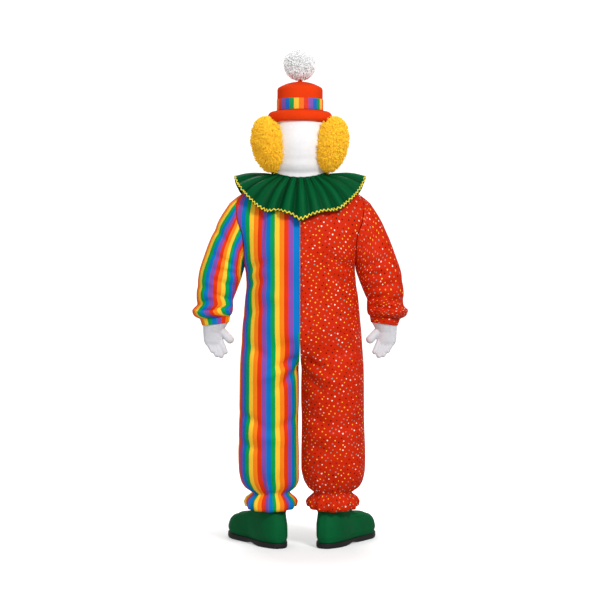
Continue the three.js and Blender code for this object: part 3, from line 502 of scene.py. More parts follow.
ARMHOLE_LINE = Table("z x", [(1.360, 0.237), (1.322, 0.247), (1.266, 0.242), (1.235, 0.232), (1.201, 0.221),
                             (1.151, 0.216), (1.085, 0.214)])
BODY = Table("z width back front", [(1.085, 0.214, 0.150, 0.150), (1.040, 0.213, 0.148, 0.156),
                                    (0.960, 0.220, 0.144, 0.164), (0.840, 0.231, 0.150, 0.160),
                                    (0.698, 0.238, 0.150, 0.140)])
LEG = Table("z inner outer back front fold", [
    (0.840, 0.006, 0.231, 0.150, 0.150, 0), (0.698, 0.005, 0.241, 0.142, 0.132, 0),
    (0.590, 0.0035, 0.242, 0.128, 0.126, 0), (0.470, 0.006, 0.244, 0.119, 0.124, 0),
    (0.355, 0.004, 0.248, 0.118, 0.121, 0), (0.300, 0.0045, 0.246, 0.115, 0.119, 0.0005),
    (0.255, 0.010, 0.237, 0.105, 0.109, 0.0015), (0.228, 0.024, 0.219, 0.090, 0.092, 0.003),
    (0.207, 0.045, 0.195, 0.075, 0.075, 0.0025), (0.190, 0.030, 0.212, 0.088, 0.088, 0.0045),
    (0.170, 0.020, 0.221, 0.097, 0.097, 0.006), (0.149, 0.026, 0.215, 0.093, 0.093, 0.007)])


def neck_point(turn, grow=0.0, rise=0.0):
    end = NECK_BACK if math.cos(turn) > 0 else NECK_FRONT
    return Vector((
        (NECK_WIDTH + grow) * math.sin(turn),
        (NECK_DEPTH + grow) * math.cos(turn),
        lerp(end, NECK_SIDE, math.sin(turn) ** 2) + rise,
    ))


def body_point(face, u, z):
    turn = u * math.pi / 2
    depth = BODY.at(z, "back" if face == BACK else "front")
    return Vector((BODY.at(z, "width") * rounded(math.sin(turn), 0.84),
                   face * depth * rounded(math.cos(turn), 0.84), z))


def leg_point(face, u, z):
    inner, outer = LEG.at(z, "inner"), LEG.at(z, "outer")
    depth = LEG.at(z, "back" if face == BACK else "front")
    turn = u * math.pi
    return Vector(((inner + outer) / 2 - (outer - inner) / 2 * rounded(math.cos(turn), 0.88),
                   face * depth * rounded(math.sin(turn), 0.88), z))


def lower_point(face, u, z):
    fall = clamp((SEAT - z) / (SEAT - CROTCH))
    under_body = 1 - math.sqrt(1 - fall * fall)
    down_thigh = smooth((SEAT + 0.03 - z) / (SEAT + 0.03 - THIGH))
    share = lerp(under_body, down_thigh, min(3 * u, 1))
    return body_point(face, u, z).lerp(leg_point(face, u, z), share)


def armhole_point(face, turn):
    z = (SHOULDER.z + UNDERARM) / 2 + (SHOULDER.z - UNDERARM) / 2 * math.cos(turn)
    return Vector((ARMHOLE_LINE.at(z, "x"), face * ARMHOLE_DEPTH * math.sin(turn), z))


def top_edge(face, u):
    turn = clamp(2 * u) * math.pi / 2
    neck = neck_point(turn if face == BACK else math.pi - turn)
    return neck if u <= 0.5 else neck.lerp(SHOULDER, 2 * u - 1)


def yoke_point(face, u, v):
    top, bottom = top_edge(face, u), body_point(face, u, UNDERARM)
    top_start, bottom_start = top_edge(face, 0), body_point(face, 0, UNDERARM)
    swell = math.sin(v * math.pi / 2)
    centre = Vector((0, lerp(top_start.y, bottom_start.y, swell), lerp(top_start.z, bottom_start.z, v)))
    side = armhole_point(face, v * math.pi)
    along_bottom = bottom_start.lerp(body_point(face, 1, UNDERARM), u)
    corners = top_start.lerp(top_edge(face, 1), u).lerp(along_bottom, v)
    point = top.lerp(bottom, v) + centre.lerp(side, u) - corners
    point.y = lerp(top.y, bottom.y, swell) + u * side.y
    return point


YOKE_SHARE = 0.27  # share of a panel's length that lies above the underarm


def panel_point(side, face, u, t):
    """The panel without folds: u from the centre seam to the side, t from the neck to the hem."""
    if t < YOKE_SHARE:
        point = yoke_point(face, u, t / YOKE_SHARE)
    else:
        point = lower_point(face, u, lerp(UNDERARM, HEM, (t - YOKE_SHARE) / (1 - YOKE_SHARE)))
    below = clamp((UNDERARM - point.z) / 0.1)
    ankle = clamp((0.300 - point.z) / 0.06)
    point.x -= side * SWAY * below * max(u, ankle)
    return point


GATHERS_ABOVE, GATHERS_BELOW = 0.226, 0.188  # heights of the small pleats beside the ankle's elastic
ELASTIC_DIP, GATHER_DEPTH = 0.0036, 0.0023


def gathered(point, side, u):
    """Adds the elastic's folds at the ankle and the hem's droop."""
    middle = 0.120 - side * SWAY
    radial = Vector((point.x - middle, point.y, 0)).normalized()
    fold = LEG.at(point.z, "fold") if point.z < 0.3 else 0.0
    drop = clamp((ANKLE - point.z) / (ANKLE - HEM))
    wave = 0.7 * math.cos(12 * math.pi * u) + 0.3 * math.sin(20 * math.pi * u + 1) * drop
    casing = -ELASTIC_DIP * bell(point.z - ANKLE, 0.007)
    near = bell(point.z - GATHERS_ABOVE, 0.016) + bell(point.z - GATHERS_BELOW, 0.013)
    gathers = GATHER_DEPTH * math.cos(22 * math.pi * u + 2) * near
    droop = Vector((0, 0, drop * (0.006 - 0.012 * abs(radial.y))))
    return point + radial * (fold * wave + casing + gathers) + droop


# Creases as seen from behind: where each starts and ends as x and z, its width, and how far it rises, or
# sinks where negative.
CREASES = {
    (LEFT, BACK): [
        (0.010, 0.735, 0.120, 0.690, 0.012, -0.006), (0.020, 0.715, 0.150, 0.655, 0.016, 0.005),
        (0.012, 0.690, 0.095, 0.610, 0.014, -0.005), (0.005, 0.800, 0.090, 0.770, 0.022, -0.004),
        (0.210, 0.790, 0.110, 0.730, 0.022, -0.004), (0.020, 0.500, 0.110, 0.455, 0.016, -0.004),
        (0.225, 0.520, 0.140, 0.470, 0.018, -0.005), (0.060, 0.420, 0.190, 0.440, 0.022, 0.004),
        (0.235, 0.410, 0.150, 0.380, 0.016, -0.004), (0.205, 1.060, 0.120, 1.120, 0.016, -0.005),
        (0.212, 1.010, 0.130, 1.040, 0.018, -0.004), (0.225, 0.900, 0.120, 0.930, 0.020, -0.003),
        (0.050, 0.960, 0.170, 0.985, 0.024, 0.003), (0.070, 0.300, 0.085, 0.235, 0.010, -0.004),
        (0.150, 0.310, 0.140, 0.235, 0.010, -0.004), (0.110, 0.290, 0.112, 0.225, 0.008, -0.005),
    ],
    (RIGHT, BACK): [
        (0.010, 0.735, 0.110, 0.680, 0.012, -0.006), (0.020, 0.705, 0.140, 0.640, 0.016, 0.005),
        (0.015, 0.680, 0.090, 0.600, 0.014, -0.005), (0.215, 0.780, 0.120, 0.740, 0.022, -0.004),
        (0.020, 0.520, 0.120, 0.480, 0.016, -0.004), (0.235, 0.500, 0.150, 0.455, 0.018, -0.005),
        (0.050, 0.430, 0.180, 0.450, 0.022, 0.004), (0.030, 0.400, 0.120, 0.370, 0.016, -0.004),
        (0.208, 1.070, 0.110, 1.130, 0.016, -0.005), (0.218, 1.000, 0.120, 1.050, 0.018, -0.004),
        (0.230, 0.880, 0.130, 0.900, 0.020, -0.003), (0.090, 0.300, 0.100, 0.230, 0.010, -0.004),
        (0.170, 0.310, 0.155, 0.235, 0.010, -0.004), (0.130, 0.290, 0.128, 0.225, 0.008, -0.005),
    ],
}
CREASES[LEFT, FRONT] = CREASES[RIGHT, BACK]
CREASES[RIGHT, FRONT] = CREASES[LEFT, BACK]
CREASE_GAIN = 1.9
CREASE_NOISE = 0.003


def crease_depth(creases, x, z):
    depth = 0.0
    for x0, z0, x1, z1, width, size in creases:
        run_x, run_z = x1 - x0, z1 - z0
        length2 = run_x**2 + run_z**2
        t = ((x - x0) * run_x + (z - z0) * run_z) / length2
        if -0.3 < t < 1.3:
            off = math.hypot(x - x0 - t * run_x, z - z0 - t * run_z)
            if off < 3 * width:
                swell = math.sin(math.pi * clamp((t + 0.3) / 1.6)) ** 1.5
                depth += CREASE_GAIN * size * bell(off, width) * swell
    return depth


def ripple(point, seed):
    """Small soft unevenness that all worn cloth has."""
    place = Vector((point.x * 9, point.y * 9, point.z * 5 + seed))
    return noise.noise(place) * CREASE_NOISE


PANEL_COLUMNS, PANEL_ROWS = 60, 130
FIRST_STRIPE_CUT = 0.0072  # how much of the first stripe the centre seam takes


def arc_table(side, face, t, steps=40):
    """Lengths along one row of a panel from the centre seam, by u."""
    points = [panel_point(side, face, k / steps, t) for k in range(steps + 1)]
    total = [0.0]
    for a, b in zip(points, points[1:]):
        total.append(total[-1] + math.hypot(b.x - a.x, b.y - a.y))
    return points, total


def read_off(values, where):
    """Linear reading of evenly spaced values at a place from 0 to 1."""
    x = clamp(where) * (len(values) - 1)
    k = min(int(x), len(values) - 2)
    return lerp(values[k], values[k + 1], x - k)


class Cut:
    """The flat cut of a panel. Stripes run straight down the body from the centre seam, and further down
    they stay upright over the middle of the leg and follow the cloth into the ankle's gathers."""

    def __init__(self, side, face, striped):
        self.rows = []
        rows = 66
        seat_t = self.t_of(SEAT)
        seat_points, seat_arc = arc_table(side, face, seat_t)
        shin_t = self.t_of(0.300)
        for k in range(rows + 1):
            t = k / rows
            points, arc = arc_table(side, face, min(t, shin_t))
            start = -FIRST_STRIPE_CUT
            if t > seat_t:
                middle = read_off([p.x for p in points], 0.5)
                start += self.length_at(seat_points, seat_arc, middle) - read_off(arc, 0.5)
            turned_in = lerp(0.0005, -0.2, smooth((t - seat_t) / 0.08))
            self.rows.append([max(start + a, turned_in) if striped else start + a for a in arc])

    @staticmethod
    def t_of(z):
        return YOKE_SHARE + (1 - YOKE_SHARE) * (UNDERARM - z) / (UNDERARM - HEM)

    @staticmethod
    def length_at(points, arc, x):
        k = 0
        while k < len(points) - 2 and points[k + 1].x < x:
            k += 1
        share = clamp((x - points[k].x) / max(points[k + 1].x - points[k].x, 1e-6))
        return lerp(arc[k], arc[k + 1], share)

    def __call__(self, u, t):
        x = clamp(t) * (len(self.rows) - 1)
        k = min(int(x), len(self.rows) - 2)
        across = lerp(read_off(self.rows[k], u), read_off(self.rows[k + 1], u), x - k)
        return across, 1.32 * (1 - t)


def panel(name, side, face, slot):
    creases = CREASES[side, face]
    cut = Cut(side, face, slot == "striped_cloth")

    def surface(u, t):
        return mirrored(side, gathered(panel_point(side, face, u, t), side, u))

    def relief(u, t, place):
        z = place.z + NECK_HEIGHT
        seam = clamp(u / 0.05) * clamp((1 - u) / 0.05)
        seam_dip = -0.0012 * (bell(u, 0.016) + bell(1 - u, 0.016))
        fade = smooth((z - 0.200) / 0.05) * smooth(t / 0.1)
        soft = crease_depth(creases, abs(place.x), z) + ripple(place, side + face)
        return soft * seam * fade + seam_dip * fade

    def settle(place):
        place.x = side * max(side * place.x, SEAM)
        place.y = face * max(face * place.y, SEAM)
        return place

    mesh = sheet_mesh(name, PANEL_COLUMNS, PANEL_ROWS, surface, cut, relief, settle=settle)
    piece = finished(name, mesh, slot, name, thickness=CLOTH)
    return piece


# ------------------------------------------------------------------ sleeves and cuffs

SLEEVE = [
    (0.272, 1.331, 0.216, 1.074, 0.075, 0), (0.312, 1.270, 0.221, 1.056, 0.078, 0),
    (0.346, 1.195, 0.228, 1.037, 0.079, 0), (0.370, 1.130, 0.234, 1.021, 0.079, 0),
    (0.393, 1.055, 0.243, 0.998, 0.078, 0), (0.401, 0.980, 0.256, 0.962, 0.075, 0.001),
    (0.399, 0.942, 0.259, 0.940, 0.071, 0.002), (0.418, 0.917, 0.259, 0.923, 0.076, 0.002),
    (0.409, 0.895, 0.263, 0.905, 0.070, 0.003), (0.389, 0.883, 0.270, 0.895, 0.049, 0.001)]
CUFF_TOP = (0.3888, 0.8825, 0.2702, 0.8945, 0.0485)
CUFF_BOTTOM = (0.380, 0.857, 0.275, 0.870, 0.045)
ARM = Table("ring out_x out_z in_x in_z depth fold", [(k + 1, *row) for k, row in enumerate(SLEEVE)])


def arm_ring(row, turn, grow=0.0):
    out_x, out_z, in_x, in_z, depth = row
    middle = Vector(((out_x + in_x) / 2, 0, (out_z + in_z) / 2))
    reach = Vector((out_x, 0, out_z)) - middle
    size = reach.length
    sideways = Vector((0, math.sin(turn) * (depth + grow), 0))
    return middle + reach * (math.cos(turn) * (size + grow) / size) + sideways


def sleeve_point(turn, ring):
    """The sleeve without folds: turn 0 is the shoulder, ring 0 the armhole and the last ring the cuff."""
    face = BACK if math.sin(turn) >= 0 else FRONT
    around = turn if turn <= math.pi else TAU - turn
    row = [ARM.at(max(ring, 1), c) for c in ("out_x", "out_z", "in_x", "in_z", "depth")]
    lower = arm_ring(row, turn, ARM.at(max(ring, 1), "fold") * math.cos(7 * turn))
    if ring >= 1:
        return lower
    top = armhole_point(face, around)
    top.x += 0.0004
    return top.lerp(lower, ring)


# Creases on the back of a sleeve, like a panel's.
SLEEVE_CREASES = {
    LEFT: [(0.245, 1.085, 0.330, 1.130, 0.012, -0.005), (0.240, 1.060, 0.340, 1.075, 0.012, -0.005),
           (0.262, 1.010, 0.350, 1.040, 0.012, -0.004), (0.395, 1.010, 0.320, 1.000, 0.014, -0.004),
           (0.270, 0.958, 0.345, 0.985, 0.010, -0.005), (0.396, 0.940, 0.330, 0.962, 0.010, -0.004),
           (0.300, 0.926, 0.400, 0.921, 0.007, -0.008), (0.250, 1.150, 0.330, 1.230, 0.016, -0.004)],
    RIGHT: [(0.245, 1.080, 0.340, 1.120, 0.012, -0.005), (0.245, 1.050, 0.330, 1.060, 0.012, -0.005),
            (0.270, 1.000, 0.360, 1.020, 0.012, -0.004), (0.390, 1.030, 0.320, 1.010, 0.014, -0.004),
            (0.262, 0.960, 0.340, 0.975, 0.010, -0.005), (0.398, 0.960, 0.340, 0.950, 0.010, -0.004),
            (0.290, 0.930, 0.395, 0.926, 0.007, -0.008), (0.255, 1.160, 0.320, 1.220, 0.016, -0.004)],
}
ARM_STRIPES_START = 0.033  # place of the sleeve's outer edge in the run of stripes
ARM_LENGTH = 0.50


def from_underarm(s):
    """The turn round a sleeve at a share from its seam, which lies under the arm."""
    return (s * TAU + math.pi) % TAU


def girth_lengths(ring, steps=24):
    """Lengths along one ring of a sleeve from its outer edge to its seam."""
    points = [sleeve_point(math.pi * k / steps, ring) for k in range(steps + 1)]
    total = [0.0]
    for a, b in zip(points, points[1:]):
        total.append(total[-1] + (b - a).length)
    return total


def sleeve(name, side, slot):
    rings = len(SLEEVE)
    lengths = [girth_lengths(rings * k / 40) for k in range(41)]

    def surface(s, t):
        return mirrored(side, sleeve_point(from_underarm(s), t * rings))

    def relief(s, t, place):
        z = place.z + NECK_HEIGHT
        fade = smooth(t / 0.06) * smooth((1 - t) / 0.05)
        return (crease_depth(SLEEVE_CREASES[side], abs(place.x), z) + ripple(place, 3 * side)) * fade

    def cut(s, t):
        k = min(int(t * 40), 39)
        share = abs(2 * s - 1)
        length = lerp(read_off(lengths[k], share), read_off(lengths[k + 1], share), t * 40 - k)
        return ARM_STRIPES_START + math.copysign(length, s - 0.5), ARM_LENGTH * (1 - t)

    mesh = sheet_mesh(name, 84, 90, surface, cut, relief, wrap=True)
    piece = finished(name, mesh, slot, name, thickness=CLOTH)
    return piece


def cuff(name, side, slot):
    def surface(s, t):
        turn = from_underarm(s)
        return mirrored(side, arm_ring(CUFF_TOP, turn).lerp(arm_ring(CUFF_BOTTOM, turn), t))

    def relief(s, t, place):
        return -0.0009 * (1 + math.cos(28 * s * TAU)) / 2 * math.sin(math.pi * t)

    def cut(s, t):
        return ARM_STRIPES_START + (s - 0.5) * 0.33, 0.03 * (1 - t)

    mesh = sheet_mesh(name, 112, 10, surface, cut, relief, wrap=True)
    piece = finished(name, mesh, slot, name, thickness=CLOTH)
    return piece


# ------------------------------------------------------------------ neckband, collar and braid

COLLAR_WIDTH, COLLAR_BACK, COLLAR_FRONT = 0.255, 0.168, 0.172
COLLAR_SIDE, COLLAR_DROP = 1.437, 0.163
FLUTES, FLUTE_HEIGHT, FLUTE_DROOP = 26, 0.0105, 0.003


# How far the collar's edge hangs above or below its even line, by the turn from the centre back.
EDGE_LIFT = Table("turn lift", [
    (-3.15, 0), (-2.7, 0.006), (-2.2, -0.004), (-1.7, 0.003), (-1.2, 0.006), (-0.9, 0.003), (-0.62, -0.005),
    (-0.33, 0.009), (-0.2, 0.004), (0, -0.013), (0.15, 0.008), (0.33, 0.014), (0.54, -0.006), (0.72, 0),
    (1.05, 0.012), (1.45, 0.004), (1.9, -0.004), (2.4, 0.005), (2.8, -0.005), (3.15, 0)])


def collar_base(turn, share):
    seam = neck_point(turn, 0.0024, 0.004)
    if share < 0:
        return seam.lerp(neck_point(turn, 0.0046, 0.012), -share)
    depth = COLLAR_BACK if math.cos(turn) > 0 else COLLAR_FRONT
    edge = Vector((COLLAR_WIDTH * math.sin(turn), depth * math.cos(turn),
                   COLLAR_SIDE - COLLAR_DROP * abs(math.cos(turn)) ** 1.1))
    swell = math.sin(math.pi * share)
    point = seam.lerp(edge, share) + Vector((0.008 * math.sin(turn), 0.008 * math.cos(turn), 0.010)) * swell
    point.z += EDGE_LIFT.at((turn + math.pi) % TAU - math.pi, "lift") * share**3
    return point


def flute_wave(turn):
    drift = 0.9 * math.sin(2 * turn + 0.6) + 0.5 * math.sin(5 * turn + 2)
    size = 0.82 + 0.24 * math.sin(3 * turn + 1) + 0.22 * math.sin(7 * turn) + 0.1 * math.sin(11 * turn + 3)
    phase = FLUTES * turn + drift
    return size * (math.cos(phase) - 0.16 * math.cos(2 * phase))


def collar_normal(turn, share):
    step = 0.01
    across = collar_base(turn + step, share) - collar_base(turn - step, share)
    down = collar_base(turn, min(share + step, 1)) - collar_base(turn, max(share - step, 0))
    return across.cross(down).normalized() * -1


def collar_point(turn, share, lift=0.0):
    point = collar_base(turn, share)
    wave = flute_wave(turn)
    normal = collar_normal(turn, max(share, 0.0))
    if normal.z < 0:
        normal.negate()
    size = 0.001 * (-share) if share < 0 else FLUTE_HEIGHT * share * (1.6 - 0.8 * share)
    gathers = 0.0012 * math.cos(3 * FLUTES * turn + math.sin(5 * turn)) * bell(share - 0.1, 0.14)
    point += normal * (size * wave + gathers + lift)
    point.z -= FLUTE_DROOP * max(share, 0) ** 2 * wave * abs(math.cos(turn))
    return point


def collar_fold_shade(turn, share):
    """Painted shade and highlight for the collar's colour: from -1 in its folds to 1 on their crests,
    strongest near the neck, where the collar is also painted a little darker.
    """
    fine = math.cos(3 * FLUTES * turn + math.sin(5 * turn)) * bell(share - 0.1, 0.16)
    coarse = 0.75 * flute_wave(turn) * (1 - 0.45 * max(share, 0))
    return clamp(coarse + 0.5 * fine - 0.25 * bell(share, 0.25), -1, 1)


COLLAR_HEADING = 0.07  # share of the collar's rows that make its small heading


def share_of(t):
    return t / COLLAR_HEADING - 1 if t < COLLAR_HEADING else (t - COLLAR_HEADING) / (1 - COLLAR_HEADING)


def collar():
    mesh = sheet_mesh("collar", FLUTES * 20, 40,
                      lambda s, t: lowered(collar_point(s * TAU, share_of(t))),
                      lambda s, t: (s * 2.1, 0.19 * (1 - t)), wrap=True,
                      fold=lambda s, t: collar_fold_shade(s * TAU, share_of(t)))
    piece = finished("collar", mesh, "green_satin", "collar", thickness=CLOTH)


ZIGZAGS = 104


def braid_ring():
    """The zigzag braid, sewn just inside the collar's edge."""
    def surface(s, t):
        zig = math.sin(ZIGZAGS * s * TAU)
        return lowered(collar_point(s * TAU, 0.960 + 0.021 * zig + 0.034 * (t - 0.5), 0.0004))

    mesh = sheet_mesh("collar_trim", ZIGZAGS * 10, 3, surface, lambda s, t: (s * 1.7, t * 0.005), wrap=True)
    mesh = facing(mesh, Vector((0, 0, 1)))
    piece = finished("collar_trim", mesh, "yellow_braid", "collar_trim", thickness=0.0018)
    piece.modifiers["wall"].offset = 1


def neckband():
    mesh = sheet_mesh("neckband", 96, 6, lambda s, t: lowered(neck_point(s * TAU, 0.0, 0.0003 + 0.0117 * t)),
                      lambda s, t: (s * 0.65, t * 0.012), wrap=True)
    piece = finished("neckband", mesh, "green_satin", "neckband", thickness=0.003)


# ------------------------------------------------------------------ head and face

HEAD = Table("z width depth", [
    (1.402, 0.1046, 0.0946), (1.454, 0.1046, 0.0946), (1.474, 0.1115, 0.1075), (1.515, 0.119, 0.124),
    (1.560, 0.122, 0.130), (1.606, 0.116, 0.122), (1.644, 0.102, 0.105), (1.668, 0.089, 0.089),
    (1.700, 0.066, 0.066), (1.724, 0.040, 0.044), (1.736, 0.0, 0.022)])
HEAD_BOTTOM, HEAD_TOP = 1.402, 1.736
PLUSH_WALL = 0.004


def head_point(turn, z):
    return Vector((HEAD.at(z, "width") * math.sin(turn), HEAD.at(z, "depth") * math.cos(turn), z))


def head_half(name, side):
    """Half of the plush head. Its middle seam lies hidden in the pile."""
    def surface(s, t):
        z = lerp(HEAD_BOTTOM, HEAD_TOP, math.sin(t * math.pi / 2))
        lower_cheek = smooth((z - 1.430) / 0.012) * smooth((1.500 - z) / 0.03)
        point = head_point(s * math.pi, z + 0.014 * lower_cheek * math.cos(s * math.pi) ** 2)
        return lowered((side * point.x, point.y, z))

    def relief(s, t, place):
        return 0.0008 * noise.noise(place * 16) * min(s, 1 - s)

    def settle(place):
        place.x = side * max(side * place.x, SEAM / 3)
        return place

    mesh = sheet_mesh(name, 72, 80, surface, lambda s, t: (s * 0.36, t * 0.45), relief, settle=settle)
    half = finished(name, mesh, "white_plush", name, thickness=PLUSH_WALL)
    half.modifiers["wall"].use_rim = False


def push_out_of_head(place, grow):
    """Moves a point that lies inside the head out to its skin, level."""
    z = place.z + NECK_HEIGHT
    if HEAD_BOTTOM < z < HEAD_TOP:
        width, depth = HEAD.at(z, "width") + grow, HEAD.at(z, "depth") + grow
        reach = math.hypot(place.x / width, place.y / depth)
        if 1e-6 < reach < 1:
            place.x /= reach
            place.y /= reach
    return place


FELT = 0.0025


def face_piece(name, slot, outline):
    """A felt shape on the front of the head. outline(turn) gives its edge from its middle, as x and z."""
    middle_x, middle_z = outline(None)

    def surface(s, t):
        edge_x, edge_z = outline(s * TAU)
        x, z = middle_x + t * edge_x, middle_z + t * edge_z
        share = math.sqrt(max(1 - (x / HEAD.at(z, "width")) ** 2, 0.01))
        lift = 0.0005 + FELT * (1 - 0.35 * t**8)
        return lowered((x, -HEAD.at(z, "depth") * share - lift, z))

    mesh = sheet_mesh(name, 64, 10, surface, lambda s, t: (s, t), wrap=True)
    finished(name, facing(mesh, Vector((0, -1, 0))), slot, name, thickness=FELT * 0.8)


EYE_X, EYE_Z, EYE_HALF_WIDTH, EYE_HALF_HEIGHT = 0.040, 1.600, 0.013, 0.021
MOUTH_Z, MOUTH_HALF_WIDTH, MOUTH_SAG, MOUTH_THICK = 1.502, 0.052, 0.022, 0.009
NOSE_RADIUS, NOSE_Z, NOSE_FORWARD = 0.027, 1.562, 0.014


def eye(name, side):
    def outline(turn):
        if turn is None:
            return side * EYE_X, EYE_Z
        return EYE_HALF_WIDTH * math.cos(turn), EYE_HALF_HEIGHT * math.sin(turn)

    face_piece(name, "black_felt", outline)


def mouth():
    def outline(turn):
        if turn is None:
            return 0.0, MOUTH_Z
        across = math.cos(turn)
        dip = MOUTH_SAG * (across**2 - 0.36)
        return MOUTH_HALF_WIDTH * across, dip + MOUTH_THICK * rounded(math.sin(turn), 0.8)

    face_piece("mouth", "red_foam", outline)


def nose():
    bm = bmesh.new()
    middle = lowered((0, -HEAD.at(NOSE_Z, "depth") - NOSE_FORWARD, NOSE_Z))
    ball(bm, 5, NOSE_RADIUS, middle)
    for v in bm.verts:
        v.co += (v.co - middle) * 0.01 * noise.noise(v.co * 60)
        v.co = push_out_of_head(v.co, 0.0006)
    finished("nose", as_mesh(bm, "nose"), "red_foam", "nose")


# ------------------------------------------------------------------ fur and yarn


def lock_shape(sides, steps, length, radius, curl):
    """One lock that stands on the origin along +Z, tapers and curls over towards +X."""
    bm = bmesh.new()
    bmesh.ops.create_cone(bm, segments=sides, radius1=radius, radius2=radius * 0.25, depth=length,
                          cap_ends=True)
    bmesh.ops.translate(bm, vec=(0, 0, length / 2), verts=bm.verts)
    upright = [e for e in bm.edges if abs(e.verts[0].co.z - e.verts[1].co.z) > length / 2]
    bmesh.ops.subdivide_edges(bm, edges=upright, cuts=steps - 1)
    bmesh.ops.triangulate(bm, faces=bm.faces)
    for v in bm.verts:
        rise = v.co.z / length
        v.co.x += curl * length * rise**2
        v.co.z -= 0.4 * curl * length * rise**3
    return as_mesh(bm, "lock")


def join_copies(name, shape, places):
    """One mesh of many copies of a small one, each put in its place by a matrix."""
    corners = numpy.array([v.co for v in shape.vertices])
    corners = numpy.hstack([corners, numpy.ones((len(corners), 1))])
    faces = numpy.array([p.vertices for p in shape.polygons])
    stack = numpy.array(places)
    points = numpy.einsum("nij,kj->nki", stack, corners)[:, :, :3].reshape(-1, 3)
    steps = numpy.arange(len(places))[:, None, None] * len(corners)
    loops = (faces[None] + steps).reshape(-1, 3)
    mesh = bpy.data.meshes.new(name)
    mesh.from_pydata(points.tolist(), [], loops.tolist())
    # tip runs from 0 at a copy's base to 1 at its end; the pile finishes paint shade by it
    tips = mesh.attributes.new("tip", "FLOAT", "POINT")
    tips.data.foreach_set("value", numpy.tile(corners[:, 2] / corners[:, 2].max(), len(places)))
    return mesh


def standing(place, along, spin, size):
    """A matrix that puts a lock at a place, along a direction, turned and sized."""
    turn = along.to_track_quat("Z", "Y").to_matrix().to_4x4()
    return Matrix.Translation(place) @ turn @ Matrix.Rotation(spin, 4, "Z") @ Matrix.Diagonal((*size, 1))


def ball_directions(count):
    """Evenly spread directions on a ball, by the golden angle."""
    golden = math.pi * (3 - math.sqrt(5))
    for k in range(count):
        z = 1 - 2 * (k + 0.5) / count
        ring = math.sqrt(1 - z * z)
        yield Vector((ring * math.cos(golden * k), ring * math.sin(golden * k), z))


PUFF = {"x": 0.117, "y": 0.042, "z": 1.558, "half_width": 0.073, "half_depth": 0.112, "half_height": 0.110,
        "lean": 0.012, "taper": 0.1}
FUR_LENGTH = 0.016
FUR_LOCKS = 8000
FUR_TUFTS = 420  # the locks lean together in tufts


def puff_point(side, direction, inward):
    """Where a direction from the puff's middle meets its egg form, less a depth inward."""
    up = direction.z
    level = Vector((direction.x, direction.y, 0))
    narrow = 1 + PUFF["taper"] * up if up < 0 else 1
    ring = level.length
    level = level.normalized() if ring > 1e-6 else Vector((1, 0, 0))
    size = rounded(ring, 0.9) * narrow
    return lowered((side * (PUFF["x"] + PUFF["lean"] * up + (PUFF["half_width"] - inward) * level.x * size),
                    PUFF["y"] + (PUFF["half_depth"] - inward) * level.y * size,
                    PUFF["z"] + (PUFF["half_height"] - inward) * up))


def hidden_by_head(place, grow):
    return (push_out_of_head(place.copy(), grow) - place).length > 1e-6


FUR_TOP, FUR_TOP_HALF_WIDTH = 1.641, 0.095  # beyond this half width the fur may rise
BRIM_TOP, BRIM_RADIUS = 1.690, 0.126  # of the drum that the brim keeps to itself


def fur_top(place):
    """How high the fur may stand, so that the ends of the brim stay clear of it."""
    return FUR_TOP - NECK_HEIGHT + max(abs(place.x) - FUR_TOP_HALF_WIDTH, 0.0)


def touches_brim(place):
    low = BRIM_ROLL[-1][1] - 0.003
    return low < place.z + NECK_HEIGHT < BRIM_TOP and math.hypot(place.x, place.y) < BRIM_RADIUS


def hair(name, side, draw):
    """A fur puff: a backing that follows the head, and short locks that stand on it and sweep down."""
    bm = bmesh.new()
    bmesh.ops.create_icosphere(bm, subdivisions=6, radius=1)
    for v in bm.verts:
        v.co = push_out_of_head(puff_point(side, v.co.normalized(), FUR_LENGTH * 0.7), 0.0012)
        z = v.co.z + NECK_HEIGHT
        away = (BRIM_RADIUS + 0.0005) * smooth((z - 1.590) / 0.045)
        ring = math.hypot(v.co.x, v.co.y)
        if ring < away:
            v.co.x, v.co.y = v.co.x * away / ring, v.co.y * away / ring
        v.co.z = min(v.co.z, fur_top(v.co) - 0.006)
    bmesh.ops.remove_doubles(bm, verts=bm.verts, dist=1e-5)
    bmesh.ops.recalc_face_normals(bm, faces=bm.faces)
    # the backing has no tip attribute, so its finish paints it at the full painted shade of the locks' base
    finished(name, as_mesh(bm, name), "yellow_fur", name)
    places = []
    middles = [(d + Vector([draw.uniform(-0.05, 0.05) for _ in range(3)])).normalized()
               for d in ball_directions(FUR_TUFTS)]
    peaks = [puff_point(side, d, draw.uniform(-0.006, 0.005)) + Vector((0, 0, -0.005)) for d in middles]
    directions = list(ball_directions(FUR_LOCKS))
    nearest = (numpy.array(directions) @ numpy.array(middles).T).argmax(axis=1)
    for direction, tuft in zip(directions, nearest):
        root = puff_point(side, direction, FUR_LENGTH * 0.8)
        outward = puff_point(side, direction, 0) - root
        tip = root + outward.lerp(peaks[tuft] - root, 0.8) * draw.uniform(0.8, 1.15)
        along, length = (tip - root).normalized(), (tip - root).length
        hidden = hidden_by_head(root, -0.004) or hidden_by_head(tip, 0.001)
        if hidden or touches_brim(tip) or tip.z > fur_top(tip):
            continue
        width = 0.8 + 0.5 * draw.random()
        places.append(standing(root, along, draw.uniform(0, TAU), (width, width, length / FUR_LENGTH)))
    lock = lock_shape(3, 3, FUR_LENGTH, 0.0023, 0.45)
    fur = f"fur_{name[5:]}"
    finished(fur, join_copies(fur, lock, places), "yellow_fur", name)


POMPOM_CORE, POMPOM_REACH, POMPOM_Z = 0.050, 0.065, 1.867
YARN_LENGTH = 0.019
YARN_LOCKS = 2600


